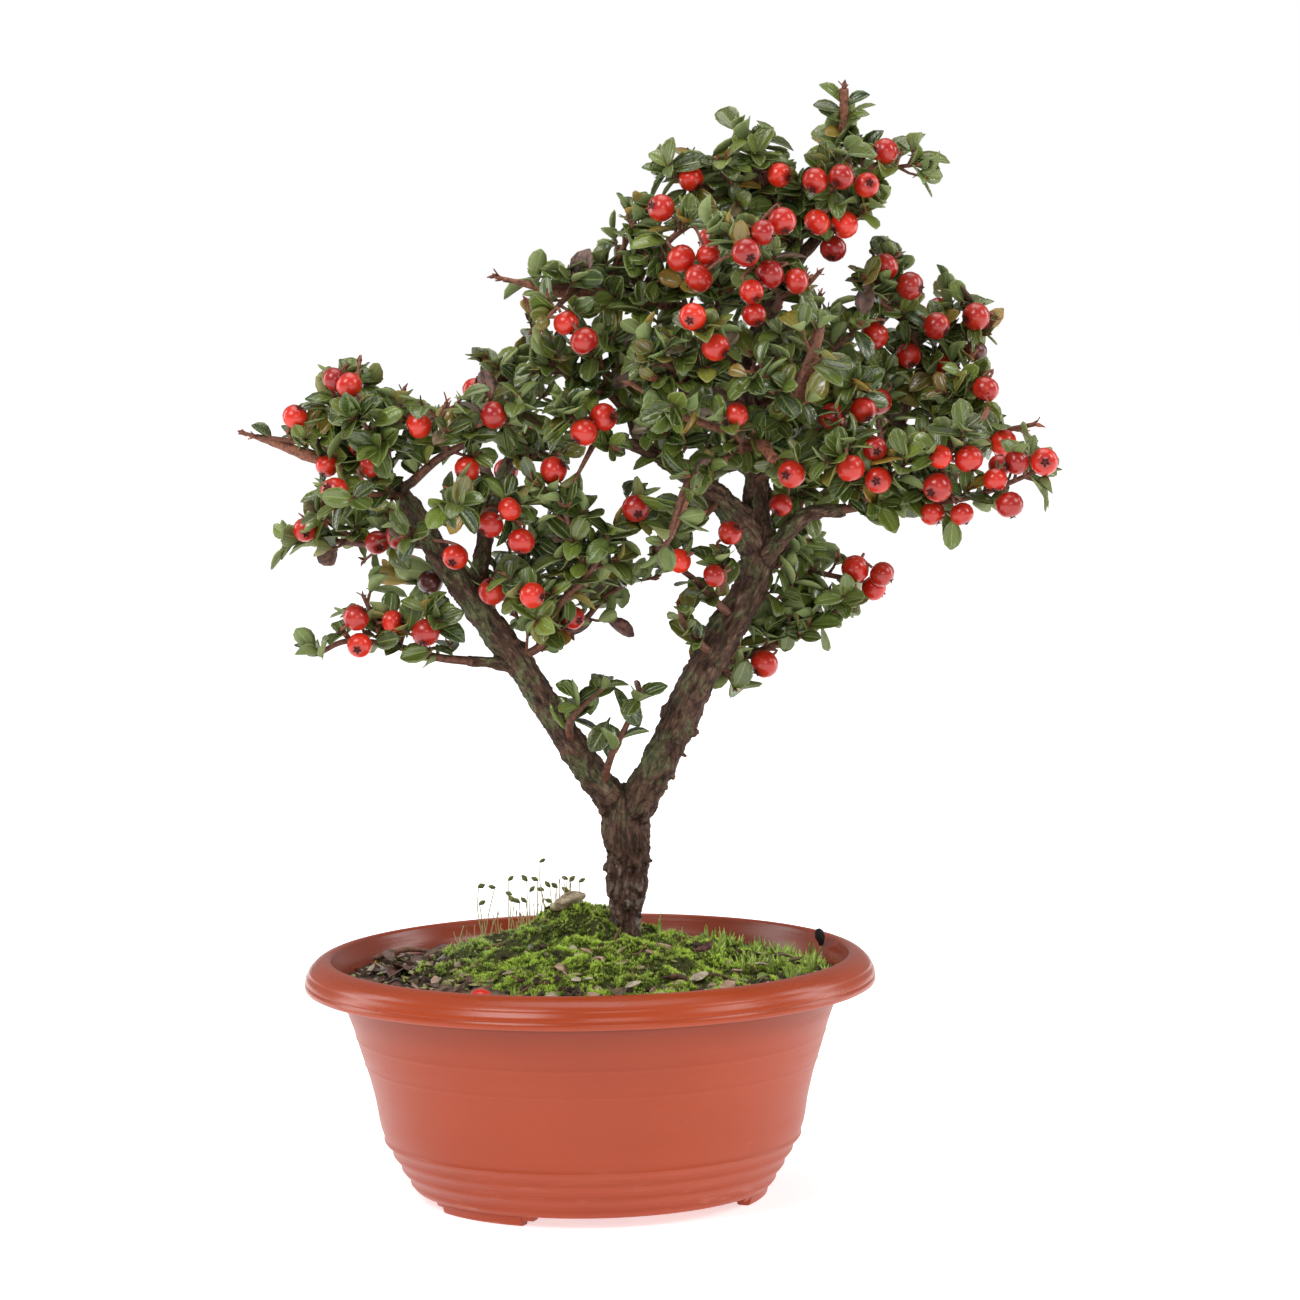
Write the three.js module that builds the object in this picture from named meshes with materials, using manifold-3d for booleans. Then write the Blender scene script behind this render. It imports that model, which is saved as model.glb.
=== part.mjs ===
// A cotoneaster bonsai in a round plastic bowl with moss. Millimetres, +Z up.
// Every place below is measured from the bowl's axis at the surface it stands on.
import * as THREE from "three";
import { OBB } from "three/addons/math/OBB.js";
import { mergeVertices } from "three/addons/utils/BufferGeometryUtils.js";
import loadManifold from "manifold-3d";

const manifold = await loadManifold();
manifold.setup();

const seatGap = 0.3;

const pot = {
  rimRadius: 105,
  rimTop: 89.3,
  wall: 2,
  footRadius: 64,
  footWidth: 5,
  footHeight: 4.6,
  floorTop: 6.8,
  sides: 28,
  notchSteps: [
    { height: 2, degrees: 86 },
    { height: 3.6, degrees: 78 },
  ],
  notchMiddles: [-71, 49, 169],
  drainHoles: 4,
  drainRadius: 4.5,
  drainCircle: 40,
};

const ground = {
  rimLevel: 80,
  mounds: [
    { x: 8, y: 0, height: 9, radius: 75 },
    { x: -4, y: 22, height: 12, radius: 34 },
  ],
  mossCentre: [10, -2],
  mossThickness: 5,
  mossRings: 8,
  mossSides: 26,
  tuftHeight: 3.4,
};

const trunkFoot = { x: 13.5, y: 9, radius: 6, bottom: 62, top: 100, sides: 12 };

const leaf = { length: 12.5, width: 7.8, thickness: 0.75, baseHeight: 1, pairSpacing: 14, tries: 10 };

const berry = { radius: 5.2, stalkRadius: 1, hubRadius: 1.5 };

const colours = {
  terracotta: 0xb4532f,
  soil: 0x2d211a,
  moss: 0x5e8a24,
  bark: 0x33261f,
  leaves: 0x35592c,
  berries: 0xd8281c,
  stone: 0x8b8272,
};

// Wood, from the foot of the trunk out. Each line runs from its root to its end.
const boughs = {
  trunk: {
    line: [[13.5, 9, 92], [13.5, 9, 98], [14, 8, 109], [15, 6, 123], [14, 4, 135], [14, 3, 143]],
    radii: [5, 5.4, 7.3, 7.2, 9, 7],
    sides: 8,
  },
  leftLimb: {
    line: [[14, 5, 136], [10, 3, 145], [0, 1, 158], [-15, -3, 183], [-24, -6, 199],
      [-41, -8, 225], [-51, -7, 239], [-64, -5, 259], [-75, -5, 269]],
    radii: [6.5, 5.4, 4.8, 4.4, 4.7, 4.5, 4, 3.3, 2.6],
    sides: 6,
  },
  rightLimb: {
    line: [[14, 4, 137], [22, 0, 151], [31, -2, 168], [40, -2, 187], [50, 0, 205],
      [60, 3, 221], [64, 5, 236], [64, 7, 246]],
    radii: [7.4, 6.4, 6.1, 6.3, 6, 6.3, 5.6, 4.8],
    sides: 7,
  },
  leftInner: { line: [[-40, -6, 223], [-37, 2, 236], [-34, 10, 251], [-30, 16, 262], [-26, 21, 271],
    [-22, 25, 282]], radii: [3.4, 2.2], sides: 5 },
  leftLow: { line: [[-26, -6, 196], [-34, -9, 198], [-43, -12, 199]], radii: [2.4, 1.9], sides: 5 },
  leftMiddle: { line: [[-52, -4, 241], [-64, 6, 241]], radii: [2.2, 1.7], sides: 5 },
  leftCross: { line: [[-66, -6, 261], [-60, -15, 266]], radii: [2, 1.7], sides: 5 },
  leftBack: { line: [[-32, 14, 257], [-37, 38, 268], [-43, 50, 276]], radii: [2.4, 1.7], sides: 5 },
  lowArch: { line: [[62, 5, 239], [56, 0, 249], [50, -4, 256], [43, -8, 262], [36, -12, 268],
    [26, -14, 274]], radii: [4.4, 2.6], sides: 5 },
  lowArchLeft: { line: [[29, -13, 272], [19, -18, 277], [10, -24, 279]], radii: [2.6, 1.9], sides: 5 },
  lowArchUp: { line: [[30, -13, 271], [21, -8, 279], [18, -2, 288]], radii: [2.4, 1.8], sides: 5 },
  column: { line: [[64, 5, 240], [64, 8, 255], [64, 9, 268], [62, 10, 285], [59, 10, 302]],
    radii: [5, 3.6], sides: 6 },
  upperLeft: { line: [[60, 10, 298], [49, 6, 313], [40, 2, 322], [31, -1, 328]], radii: [2.8, 2], sides: 5 },
  upperRight: { line: [[59, 11, 297], [65, 14, 315], [72, 17, 328], [80, 19, 341], [88, 20, 350]],
    radii: [3.2, 2.2], sides: 5 },
  topLeft: { line: [[81, 19, 342], [75, 13, 349]], radii: [2, 1.7], sides: 5 },
  rightArm: { line: [[65, 4, 232], [76, -4, 245], [84, -10, 251], [95, -18, 252]],
    radii: [3.6, 2.3], sides: 5 },
  rearArm: { line: [[66, 7, 230], [80, 20, 244], [91, 30, 254], [101, 36, 262], [110, 38, 270],
    [118, 38, 280], [122, 36, 290]], radii: [3.8, 2.2], sides: 5 },
  rearArmLow: { line: [[113, 38, 274], [122, 34, 279]], radii: [1.9, 1.6], sides: 5 },
  backBough: { line: [[64, 10, 260], [58, 42, 273], [53, 60, 283]], radii: [3, 2], sides: 5 },
  backRight: { line: [[94, 31, 256], [101, 60, 270], [100, 72, 279]], radii: [2.6, 1.9], sides: 5 },
  backTop: { line: [[68, 16, 322], [67, 36, 333], [65, 48, 340]], radii: [2.2, 1.7], sides: 5 },
  frontBough: { line: [[63, 8, 269], [67, -18, 280], [71, -32, 286]], radii: [3, 1.9], sides: 5 },
  frontLeft: { line: [[62, 10, 286], [51, -16, 294], [44, -29, 298]], radii: [2.6, 1.8], sides: 5 },
  frontTop: { line: [[64, 14, 312], [69, -10, 322], [72, -20, 327]], radii: [2.2, 1.7], sides: 5 },
};

// Leafy sprays. The first line of each leaves the wood, and the others branch from it.
const sprays = {
  left_tip: [
    [[-73, -5, 267], [-91, -8, 278], [-105, -10, 280], [-117, -12, 282]],
    [[-85, -7, 275], [-88, -12, 287], [-85, -14, 295], [-84, -14, 303]],
  ],
  left_crown: [
    [[-70, -5, 265], [-70, -14, 278], [-66, -20, 288], [-64, -22, 297]],
    [[-70, -14, 278], [-76, -24, 284], [-80, -31, 290]],
  ],
  left_front: [[[-65, -5, 259], [-71, -17, 260], [-79, -24, 261], [-87, -28, 258]]],
  left_middle: [
    [[-62, 5, 241], [-75, 12, 240], [-88, 18, 241], [-97, 20, 241], [-108, 22, 243]],
    [[-84, 16, 241], [-91, 12, 248], [-97, 8, 253]],
  ],
  left_low: [
    [[-41, -12, 199], [-54, -15, 201], [-70, -19, 206], [-86, -22, 208], [-96, -24, 204], [-104, -25, 207]],
    [[-58, -16, 202], [-60, -22, 210], [-54, -27, 217]],
    [[-70, -19, 206], [-76, -17, 216], [-80, -15, 224]],
  ],
  left_under: [[[-48, -6, 234], [-55, 14, 229], [-64, 26, 225], [-75, 33, 227]]],
  left_cross: [
    [[-62, -12, 264], [-52, -22, 273], [-43, -26, 278], [-32, -29, 284], [-20, -30, 291]],
    [[-48, -24, 276], [-50, -30, 286], [-48, -33, 294]],
  ],
  left_inner: [
    [[-23, 24, 279], [-16, 27, 298], [-15, 26, 308], [-16, 22, 318], [-18, 20, 329]],
    [[-17, 27, 293], [-25, 22, 299], [-32, 18, 303], [-38, 15, 307]],
  ],
  left_core: [
    [[-35, 8, 247], [-39, -14, 253], [-43, -27, 259], [-49, -37, 257]],
    [[-39, -15, 253], [-31, -26, 256], [-24, -33, 251]],
  ],
  left_rear: [
    [[-40, 45, 272], [-48, 58, 281], [-57, 65, 286]],
    [[-45, 53, 278], [-38, 61, 287], [-32, 65, 295]],
  ],
  inner_right: [
    [[-25, -6, 199], [-16, -9, 204], [-12, -16, 214], [-7, -20, 222], [0, -24, 229], [6, -26, 237],
      [15, -26, 247], [19, -26, 257]],
    [[-15, -11, 207], [-6, -6, 209], [1, 2, 213], [8, 9, 220], [18, 16, 227]],
    [[1, -24, 230], [-2, -31, 243], [-6, -35, 253], [-10, -38, 263]],
    [[-12, -16, 214], [-17, -24, 219], [-20, -31, 226]],
  ],
  fork_right: [[[5, 2, 149], [9, -9, 163], [15, -11, 175], [20, -12, 187]]],
  fork_left: [[[-5, 0, 165], [-6, -10, 175], [-1, -12, 182], [7, -13, 189]]],
  arch_left: [
    [[12, -23, 279], [1, -32, 284], [-6, -39, 291]],
    [[6, -28, 281], [2, -36, 274], [-2, -40, 267]],
  ],
  arch_up: [
    [[18, -3, 286], [10, -2, 295], [-2, -6, 301], [-12, -10, 307]],
    [[12, -2, 293], [8, -10, 305], [7, -15, 315]],
  ],
  front_left: [
    [[46, -26, 297], [36, -42, 303], [26, -51, 311]],
    [[41, -34, 300], [43, -46, 310], [46, -54, 320]],
    [[40, -36, 301], [35, -48, 296], [31, -56, 290]],
  ],
  upper_left: [
    [[33, 0, 327], [19, -5, 331], [5, -8, 333], [-14, -11, 335], [-27, -13, 337]],
    [[11, -7, 332], [14, -9, 343], [18, -9, 351], [22, -9, 361]],
    [[0, -9, 334], [-6, -22, 329], [-11, -32, 324]],
    [[22, -4, 330], [28, -14, 341], [33, -20, 350], [41, -25, 356]],
  ],
  top_left: [
    [[78, 16, 346], [70, 11, 352], [61, 8, 359], [51, 4, 366], [42, 0, 371], [32, -4, 376]],
    [[67, 10, 354], [69, 2, 364], [66, -3, 375], [65, -5, 384]],
    [[60, 8, 360], [57, -3, 368], [51, -9, 379]],
  ],
  leader: [
    [[86, 20, 348], [95, 20, 357], [101, 19, 369], [99, 18, 380], [97, 16, 392], [97, 15, 407]],
    [[100, 19, 370], [107, 12, 376], [115, 6, 380], [126, 2, 383]],
    [[92, 20, 354], [93, 4, 360], [94, -8, 366], [90, -15, 375]],
    [[93, 6, 359], [100, -7, 357], [105, -14, 361]],
  ],
  upper_front: [
    [[71, -17, 325], [72, -27, 331], [66, -37, 337], [60, -43, 345], [55, -45, 353]],
    [[72, -26, 330], [80, -36, 333], [86, -42, 339]],
  ],
  front_rise: [
    [[70, -29, 284], [74, -42, 292], [77, -48, 300], [81, -51, 309], [85, -51, 320]],
    [[74, -42, 292], [67, -54, 298], [61, -60, 304]],
  ],
  front_hanging: [
    [[66, -14, 278], [61, -34, 277], [50, -43, 272], [38, -46, 265], [33, -48, 253], [29, -48, 241]],
    [[57, -38, 275], [55, -48, 281], [50, -54, 287]],
    [[63, -27, 278], [70, -37, 273], [79, -47, 270]],
  ],
  front_right: [
    [[63, 9, 277], [76, -7, 281], [88, -22, 288], [99, -32, 298]],
    [[83, -16, 285], [88, -30, 281], [93, -39, 279]],
  ],
  rear_top: [
    [[121, 37, 287], [126, 34, 301], [123, 28, 313], [118, 24, 322], [116, 20, 331], [114, 18, 342]],
    [[125, 35, 298], [133, 36, 307], [139, 36, 317], [137, 35, 327], [135, 33, 335]],
    [[139, 36, 317], [147, 30, 319], [154, 25, 318]],
    [[123, 36, 292], [132, 26, 296], [140, 18, 298], [149, 12, 297]],
    [[119, 25, 320], [111, 13, 326], [106, 7, 333]],
  ],
  rear_low: [
    [[120, 35, 278], [132, 28, 279], [145, 16, 276], [157, 8, 279], [166, 3, 281]],
    [[138, 23, 278], [141, 14, 286], [139, 8, 291]],
  ],
  right_tip: [
    [[93, -17, 252], [103, -24, 254], [111, -28, 255], [121, -33, 257], [130, -36, 256], [141, -38, 258],
      [152, -38, 262], [164, -38, 267]],
    [[124, -34, 257], [127, -43, 265], [130, -48, 272], [135, -48, 280]],
    [[100, -22, 253], [102, -37, 260], [97, -47, 268], [92, -52, 275]],
    [[102, -36, 260], [110, -47, 266], [116, -52, 272]],
  ],
  back_right: [
    [[100, 70, 277], [101, 80, 288], [104, 85, 297], [109, 84, 306]],
    [[101, 80, 288], [90, 88, 292], [83, 89, 301]],
    [[100, 76, 284], [111, 86, 283], [121, 87, 287]],
  ],
  low_right: [
    [[44, -1, 194], [55, 9, 196], [63, 12, 198], [74, 14, 202], [82, 14, 205], [97, 12, 216]],
    [[58, 10, 197], [66, 15, 191], [74, 17, 188]],
  ],
  low_right_up: [
    [[63, 5, 227], [74, 16, 231], [85, 22, 227], [92, 24, 225], [102, 24, 223]],
    [[80, 19, 229], [88, 27, 220], [95, 30, 215]],
  ],
  limb_shoot: [[[47, -1, 199], [41, -13, 205], [36, -18, 212], [34, -22, 220]]],
  limb_shoot_up: [
    [[55, 1, 212], [47, -12, 220], [40, -19, 228], [32, -22, 234]],
    [[47, -12, 220], [51, -20, 228], [49, -25, 236]],
  ],
  back_top: [
    [[65, 46, 339], [62, 58, 350], [58, 64, 357], [52, 67, 364]],
    [[62, 56, 348], [71, 65, 354], [79, 67, 361]],
  ],
  back_bough: [
    [[53, 58, 282], [48, 73, 292], [42, 81, 299], [37, 85, 307]],
    [[50, 68, 289], [56, 81, 298], [60, 86, 308]],
    [[51, 64, 286], [42, 78, 284], [33, 86, 280]],
  ],
};

// Berry bunches, each on its spray, with a rough place for every berry.
const bunches = {
  left_tip: [[-87, -24, 301], [-101, -19, 291], [-91, -18, 270]],
  left_crown: [[-56, -32, 287], [-64, -32, 280], [-80, -18, 296]],
  left_middle: [[-103, 13, 250], [-77, 2, 245], [-84, 26, 250]],
  left_core: [[-46, -28, 246], [-41, -36, 268], [-32, -36, 263], [-23, -36, 241]],
  left_low: [[-84, -30, 216], [-70, -28, 215], [-57, -32, 208], [-80, -31, 201]],
  left_inner: [[-8, 20, 296], [-26, 32, 307], [-8, 34, 308]],
  inner_right: [[-8, -34, 228], [11, -34, 236], [20, -35, 251]],
  arch_left: [[-1, -46, 281], [11, -37, 288], [-7, -32, 277]],
  upper_left: [[31, -28, 362], [39, -34, 347], [46, -34, 340]],
  upper_front: [[58, -54, 345], [66, -49, 352], [63, -50, 334], [76, -46, 341]],
  top_left: [[41, -9, 378], [54, -6, 384], [73, -10, 374]],
  leader: [[83, -24, 369], [96, -19, 376], [105, -24, 369], [92, -17, 350]],
  rear_top: [[121, 10, 334], [109, 18, 331], [103, 12, 319], [127, 14, 322]],
  front_right: [[102, -35, 288], [86, -44, 286], [100, -48, 283]],
  right_tip: [[127, -56, 268], [139, -53, 272], [126, -47, 251], [146, -49, 257]],
  low_right_up: [[102, 16, 229], [107, 22, 214]],
  back_right: [[96, 94, 284], [111, 95, 293], [93, 78, 302]],
  back_bough: [[51, 86, 293], [32, 78, 290], [49, 76, 308]],
  back_top: [[64, 72, 363], [72, 73, 348], [50, 58, 349]],
  left_rear: [[-48, 70, 279], [-40, 68, 294]],
};

const randomFrom = (seed) => () => {
  seed = (seed + 0x6d2b79f5) | 0;
  let mixed = Math.imul(seed ^ (seed >>> 15), 1 | seed);
  mixed = (mixed + Math.imul(mixed ^ (mixed >>> 7), 61 | mixed)) ^ mixed;
  return ((mixed ^ (mixed >>> 14)) >>> 0) / 4294967296;
};

const vector = ([x, y, z]) => new THREE.Vector3(x, y, z);

// A closed three.js geometry as a solid that can be joined and cut.
function solidFrom(geometry) {
  const bare = new THREE.BufferGeometry();
  bare.setAttribute("position", geometry.attributes.position);
  bare.setIndex(geometry.index);
  const welded = mergeVertices(bare, 1e-4);
  const corners = welded.index.array;
  const kept = [];
  for (let i = 0; i < corners.length; i += 3) {
    const [a, b, c] = corners.subarray(i, i + 3);
    if (a !== b && b !== c && c !== a) kept.push(a, b, c);
  }
  return new manifold.Manifold(new manifold.Mesh({
    numProp: 3,
    vertProperties: new Float32Array(welded.attributes.position.array),
    triVerts: new Uint32Array(kept),
  }));
}

function geometryFrom(solid) {
  const mesh = solid.getMesh();
  const geometry = new THREE.BufferGeometry();
  geometry.setAttribute("position", new THREE.BufferAttribute(mesh.vertProperties, 3));
  geometry.setIndex(new THREE.BufferAttribute(mesh.triVerts, 1));
  const faceted = geometry.toNonIndexed();
  faceted.computeVertexNormals();
  return faceted;
}

const union = (solids) => manifold.Manifold.union(solids);

const largestBody = (solid) => solid.decompose().sort((a, b) => b.volume() - a.volume())[0];

// A turned profile of [radius, height] points about Z.
function turned(profile, sides) {
  const points = profile.map(([radius, height]) => new THREE.Vector2(radius, height));
  return new THREE.LatheGeometry(points, sides).rotateX(Math.PI / 2);
}

// Ring centres, radii and frames of a tapered tube along a smooth line.
function ringsAlong(line, radii) {
  const curve = new THREE.CatmullRomCurve3(line.map(vector));
  const count = line.length - 1;
  const across = new THREE.Vector3(0.31, 0.87, 0.39);
  const turn = new THREE.Quaternion();
  let before = null;
  return Array.from({ length: count + 1 }, (_, i) => {
    const along = curve.getTangent(i / count);
    if (before) across.applyQuaternion(turn.setFromUnitVectors(before, along));
    before = along.clone();
    across.addScaledVector(along, -across.dot(along)).normalize();
    const place = (i / count) * (radii.length - 1);
    const low = Math.min(Math.floor(place), radii.length - 2);
    const radius = THREE.MathUtils.lerp(radii[low], radii[low + 1], place - low);
    return { centre: curve.getPoint(i / count), along, across: across.clone(), radius };
  });
}

// A closed tube through the rings: a turned blank, bent to the line.
function tube(rings, sides, { grow = 0, knots = 0, random = () => 0.5 } = {}) {
  const last = rings.length - 1;
  const profile = [new THREE.Vector2(0, 0)];
  rings.forEach((_, i) => profile.push(new THREE.Vector2(1, i)));
  profile.push(new THREE.Vector2(0, last));
  const blank = new THREE.LatheGeometry(profile, sides);
  const bumps = rings.map(() => Array.from({ length: sides }, () => 1 + knots * (random() - 0.5)));
  const place = blank.attributes.position;
  const point = new THREE.Vector3();
  for (let i = 0; i < place.count; i++) {
    const ringNumber = Math.round(place.getY(i));
    const ring = rings[ringNumber];
    const x = place.getX(i);
    const z = place.getZ(i);
    const side = ((Math.round((Math.atan2(x, z) / (2 * Math.PI)) * sides) % sides) + sides) % sides;
    const reach = ring.radius * bumps[ringNumber][side] + grow;
    const third = new THREE.Vector3().crossVectors(ring.across, ring.along);
    point.copy(ring.centre).addScaledVector(ring.across, x * reach).addScaledVector(third, z * reach);
    if (ringNumber === 0) point.addScaledVector(ring.along, -grow);
    if (ringNumber === last) point.addScaledVector(ring.along, grow);
    place.setXYZ(i, point.x, point.y, point.z);
  }
  return solidFrom(blank);
}

function potWall(height) {
  const wallLine = new THREE.SplineCurve([[66, 4], [71, 13], [76, 22], [78.3, 30], [80, 38], [84.8, 55],
    [90.3, 72], [94.6, 86]].map(([r, z]) => new THREE.Vector2(r, z)));
  let low = 0;
  let high = 1;
  while (high - low > 1e-4) {
    const middle = (low + high) / 2;
    if (wallLine.getPoint(middle).y < height) low = middle;
    else high = middle;
  }
  return wallLine.getPoint(low).x;
}

function makePot() {
  const { rimRadius, rimTop, wall, footRadius, footWidth, footHeight, floorTop } = pot;
  const beads = [5, 10.5, 16, 21.5].flatMap((level) => [
    [potWall(level - 1.6) + 0.9, level - 1.6],
    [potWall(level) + 1, level + 0.6],
  ]);
  const outside = [[footRadius, 0], ...beads, ...[28, 45, 66, 84].map((z) => [potWall(z), z])];
  const rim = [
    [96.5, 86.6], [100.6, 84.6], [103, 81.2], [rimRadius - 1.4, rimTop - 10.3], [rimRadius, rimTop - 8.8],
    [rimRadius - 0.8, rimTop - 6], [rimRadius - 3, rimTop - 3], [rimRadius - 6, rimTop - 0.8],
    [96.8, rimTop], [94.4, rimTop - 1.2],
  ];
  const inside = [84, 45, 14].map((z) => [potWall(z) - wall, z]);
  const profile = [
    [0, footHeight], [footRadius - footWidth, footHeight], [footRadius - footWidth, 0],
    ...outside, ...rim, ...inside, [footRadius - 1, floorTop], [0, floorTop],
  ];
  let solid = solidFrom(turned(profile, pot.sides));
  for (const { height, degrees } of pot.notchSteps) {
    for (const middle of pot.notchMiddles) {
      const half = THREE.MathUtils.degToRad(degrees / 2);
      const centre = THREE.MathUtils.degToRad(middle);
      const sector = new THREE.Shape();
      sector.absarc(0, 0, footRadius + 6, centre - half, centre + half, false);
      sector.absarc(0, 0, footRadius - footWidth - 2, centre + half, centre - half, true);
      sector.closePath();
      const options = { depth: height + 2, bevelEnabled: false, curveSegments: 6 };
      const block = new THREE.ExtrudeGeometry(sector, options).translate(0, 0, -2);
      solid = solid.subtract(solidFrom(block));
    }
  }
  for (let i = 0; i < pot.drainHoles; i++) {
    const angle = (i / pot.drainHoles) * 2 * Math.PI;
    const drill = new THREE.CylinderGeometry(pot.drainRadius, pot.drainRadius, 20, 8).rotateX(Math.PI / 2);
    drill.translate(pot.drainCircle * Math.cos(angle), pot.drainCircle * Math.sin(angle), floorTop);
    solid = solid.subtract(solidFrom(drill));
  }
  return solid;
}

// Height of the soil, a low mound that is a little rough.
function soilHeight(x, y) {
  const ripple = 0.7 * Math.sin(x * 0.21 + 1) * Math.cos(y * 0.18 - 0.6);
  return ground.mounds.reduce((sum, mound) => {
    const away = Math.min(Math.hypot(x - mound.x, y - mound.y) / mound.radius, 1);
    return sum + mound.height * (0.5 + 0.5 * Math.cos(away * Math.PI));
  }, ground.rimLevel + ripple);
}

function makeSoil() {
  const edge = (z) => potWall(z) - pot.wall - 0.4;
  const surface = [edge(80), 68, 50, 34, 18].map((r) => [r, ground.rimLevel]);
  const profile = [[0, pot.floorTop + seatGap], [62, pot.floorTop + seatGap],
    ...[14, 45].map((z) => [edge(z), z]), ...surface, [0, ground.rimLevel]];
  const geometry = turned(profile, pot.sides);
  const place = geometry.attributes.position;
  for (let i = 0; i < place.count; i++) {
    if (place.getZ(i) > 79) place.setZ(i, soilHeight(place.getX(i), place.getY(i)));
  }
  return solidFrom(geometry);
}

// The moss covers the mound and the right side. Its edge is a wavy round line.
function mossEdge(angle) {
  const right = 72 + 6 * Math.cos(angle);
  const left = 57 + 4 * Math.sin(3 * angle);
  const share = 0.5 + 0.5 * Math.cos(angle);
  return THREE.MathUtils.lerp(left, right, share) + 2 * Math.sin(5 * angle + 1);
}

function mossTop(x, y, share) {
  const swell = Math.sqrt(Math.max(1 - share ** 3, 0));
  const lumps = 1.4 * Math.sin(x * 0.33) * Math.sin(y * 0.29 + 1) + 0.9 * Math.sin(x * 0.12 + y * 0.5);
  return soilHeight(x, y) + (ground.mossThickness + lumps) * swell - 1.2 * share ** 4;
}

function makeMoss(soil) {
  const random = randomFrom(31);
  const [centreX, centreY] = ground.mossCentre;
  const profile = [[0, 0], [1, 0]];
  for (let ring = 0; ring < ground.mossRings; ring++) profile.push([1 - ring / ground.mossRings, 100]);
  profile.push([0, 100]);
  const blank = turned(profile, ground.mossSides);
  const tuft = Array.from({ length: (ground.mossRings + 1) * ground.mossSides }, () => random() - 0.4);
  const place = blank.attributes.position;
  for (let i = 0; i < place.count; i++) {
    const share = Math.hypot(place.getX(i), place.getY(i));
    const angle = Math.atan2(place.getY(i), place.getX(i));
    const x = centreX + share * mossEdge(angle) * Math.cos(angle);
    const y = centreY + share * mossEdge(angle) * Math.sin(angle);
    const ring = Math.round((1 - share) * ground.mossRings);
    const side = Math.round((angle / (2 * Math.PI)) * ground.mossSides + ground.mossSides) % ground.mossSides;
    const bump = share > 0.01 && ring > 0 ? tuft[ring * ground.mossSides + side] * ground.tuftHeight : 0;
    place.setXYZ(i, x, y, place.getZ(i) < 50 ? 60 : mossTop(x, y, share) + bump);
  }
  return solidFrom(blank).subtract(soil.translate(0, 0, seatGap));
}

// The straight foot that stands in the soil, or the plain hole around it.
function makeTrunkFoot(grow) {
  const { x, y, radius, bottom, top, sides } = trunkFoot;
  const height = top - bottom + 2 * grow;
  const post = new THREE.CylinderGeometry(radius + grow, radius + grow, height, sides).rotateX(Math.PI / 2);
  return solidFrom(post.translate(x, y, (top + bottom) / 2));
}

// Wood as one body, or grown by the seat gap to cut what leans on it.
function makeWood(grow) {
  const random = randomFrom(7);
  const tubes = Object.values(boughs).map(({ line, radii, sides }) =>
    tube(ringsAlong(line, radii), sides, { grow, knots: 0.22, random }));
  return union([makeTrunkFoot(grow), ...tubes]);
}

// A twig's rings: one at its root, two close together under each pair of leaves, one at its end.
function planTwig(line, isMain) {
  const curve = new THREE.CatmullRomCurve3(line.map(vector));
  const total = curve.getLength();
  const [thick, thin] = isMain && line.length > 4 ? [1.9, 1.2] : [1.5, 1.1];
  const first = isMain ? 9 : 6;
  const pairs = Math.max(1, Math.round((total - first) / leaf.pairSpacing));
  const stations = Array.from({ length: pairs }, (_, i) => first + (i * (total - first)) / pairs);
  const half = leaf.baseHeight / 2;
  const places = [0, ...stations.flatMap((station) => [station - half, station + half]), total];
  const across = new THREE.Vector3(0.31, 0.87, 0.39);
  const turn = new THREE.Quaternion();
  let before = null;
  return places.map((place, i) => {
    const share = Math.min(place / total, 1);
    const along = curve.getTangentAt(share);
    if (before) across.applyQuaternion(turn.setFromUnitVectors(before, along));
    before = along.clone();
    across.addScaledVector(along, -across.dot(along)).normalize();
    const bearsLeaves = i % 2 === 1 && i < places.length - 1;
    if (bearsLeaves) across.applyAxisAngle(along, 0.85);
    const radius = THREE.MathUtils.lerp(thick, thin, share);
    return { centre: curve.getPointAt(share), along, across: across.clone(), radius, bearsLeaves };
  });
}

// Boxes around each stretch of a tube, to keep leaves and berries clear of it.
function boxesAround(rings, margin) {
  return rings.slice(1).map((ring, i) => {
    const start = rings[i].centre;
    const along = ring.centre.clone().sub(start);
    const thick = Math.max(ring.radius, rings[i].radius) * 1.08 + margin;
    const basis = new THREE.Matrix4().makeBasis(
      along.clone().normalize(),
      rings[i].across,
      new THREE.Vector3().crossVectors(along.clone().normalize(), rings[i].across),
    );
    const centre = start.clone().addScaledVector(along, 0.5);
    const half = new THREE.Vector3(along.length() / 2 + margin, thick, thick);
    return new OBB(centre, half, new THREE.Matrix3().setFromMatrix4(basis));
  });
}

// Loops of an arched blade with a wedge base and a blunt tip, each lower left to upper left.
function bladeLoops(root, direction, across, normal, size, droop) {
  const length = leaf.length * size;
  const width = leaf.width * size;
  const at = (share, side, depth) => root.clone()
    .addScaledVector(direction, share * length)
    .addScaledVector(across, side * width)
    .addScaledVector(normal, (0.2 * Math.min(share, 0.46) - droop * share * share) * length - depth);
  const loop = (share, side) => [
    at(share, -side, leaf.thickness / 2), at(share, side, leaf.thickness / 2),
    at(share, side, -leaf.thickness / 2), at(share, -side, -leaf.thickness / 2),
  ];
  return [loop(0.46, 0.46), loop(0.82, 0.4), loop(1, 0)];
}

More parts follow.
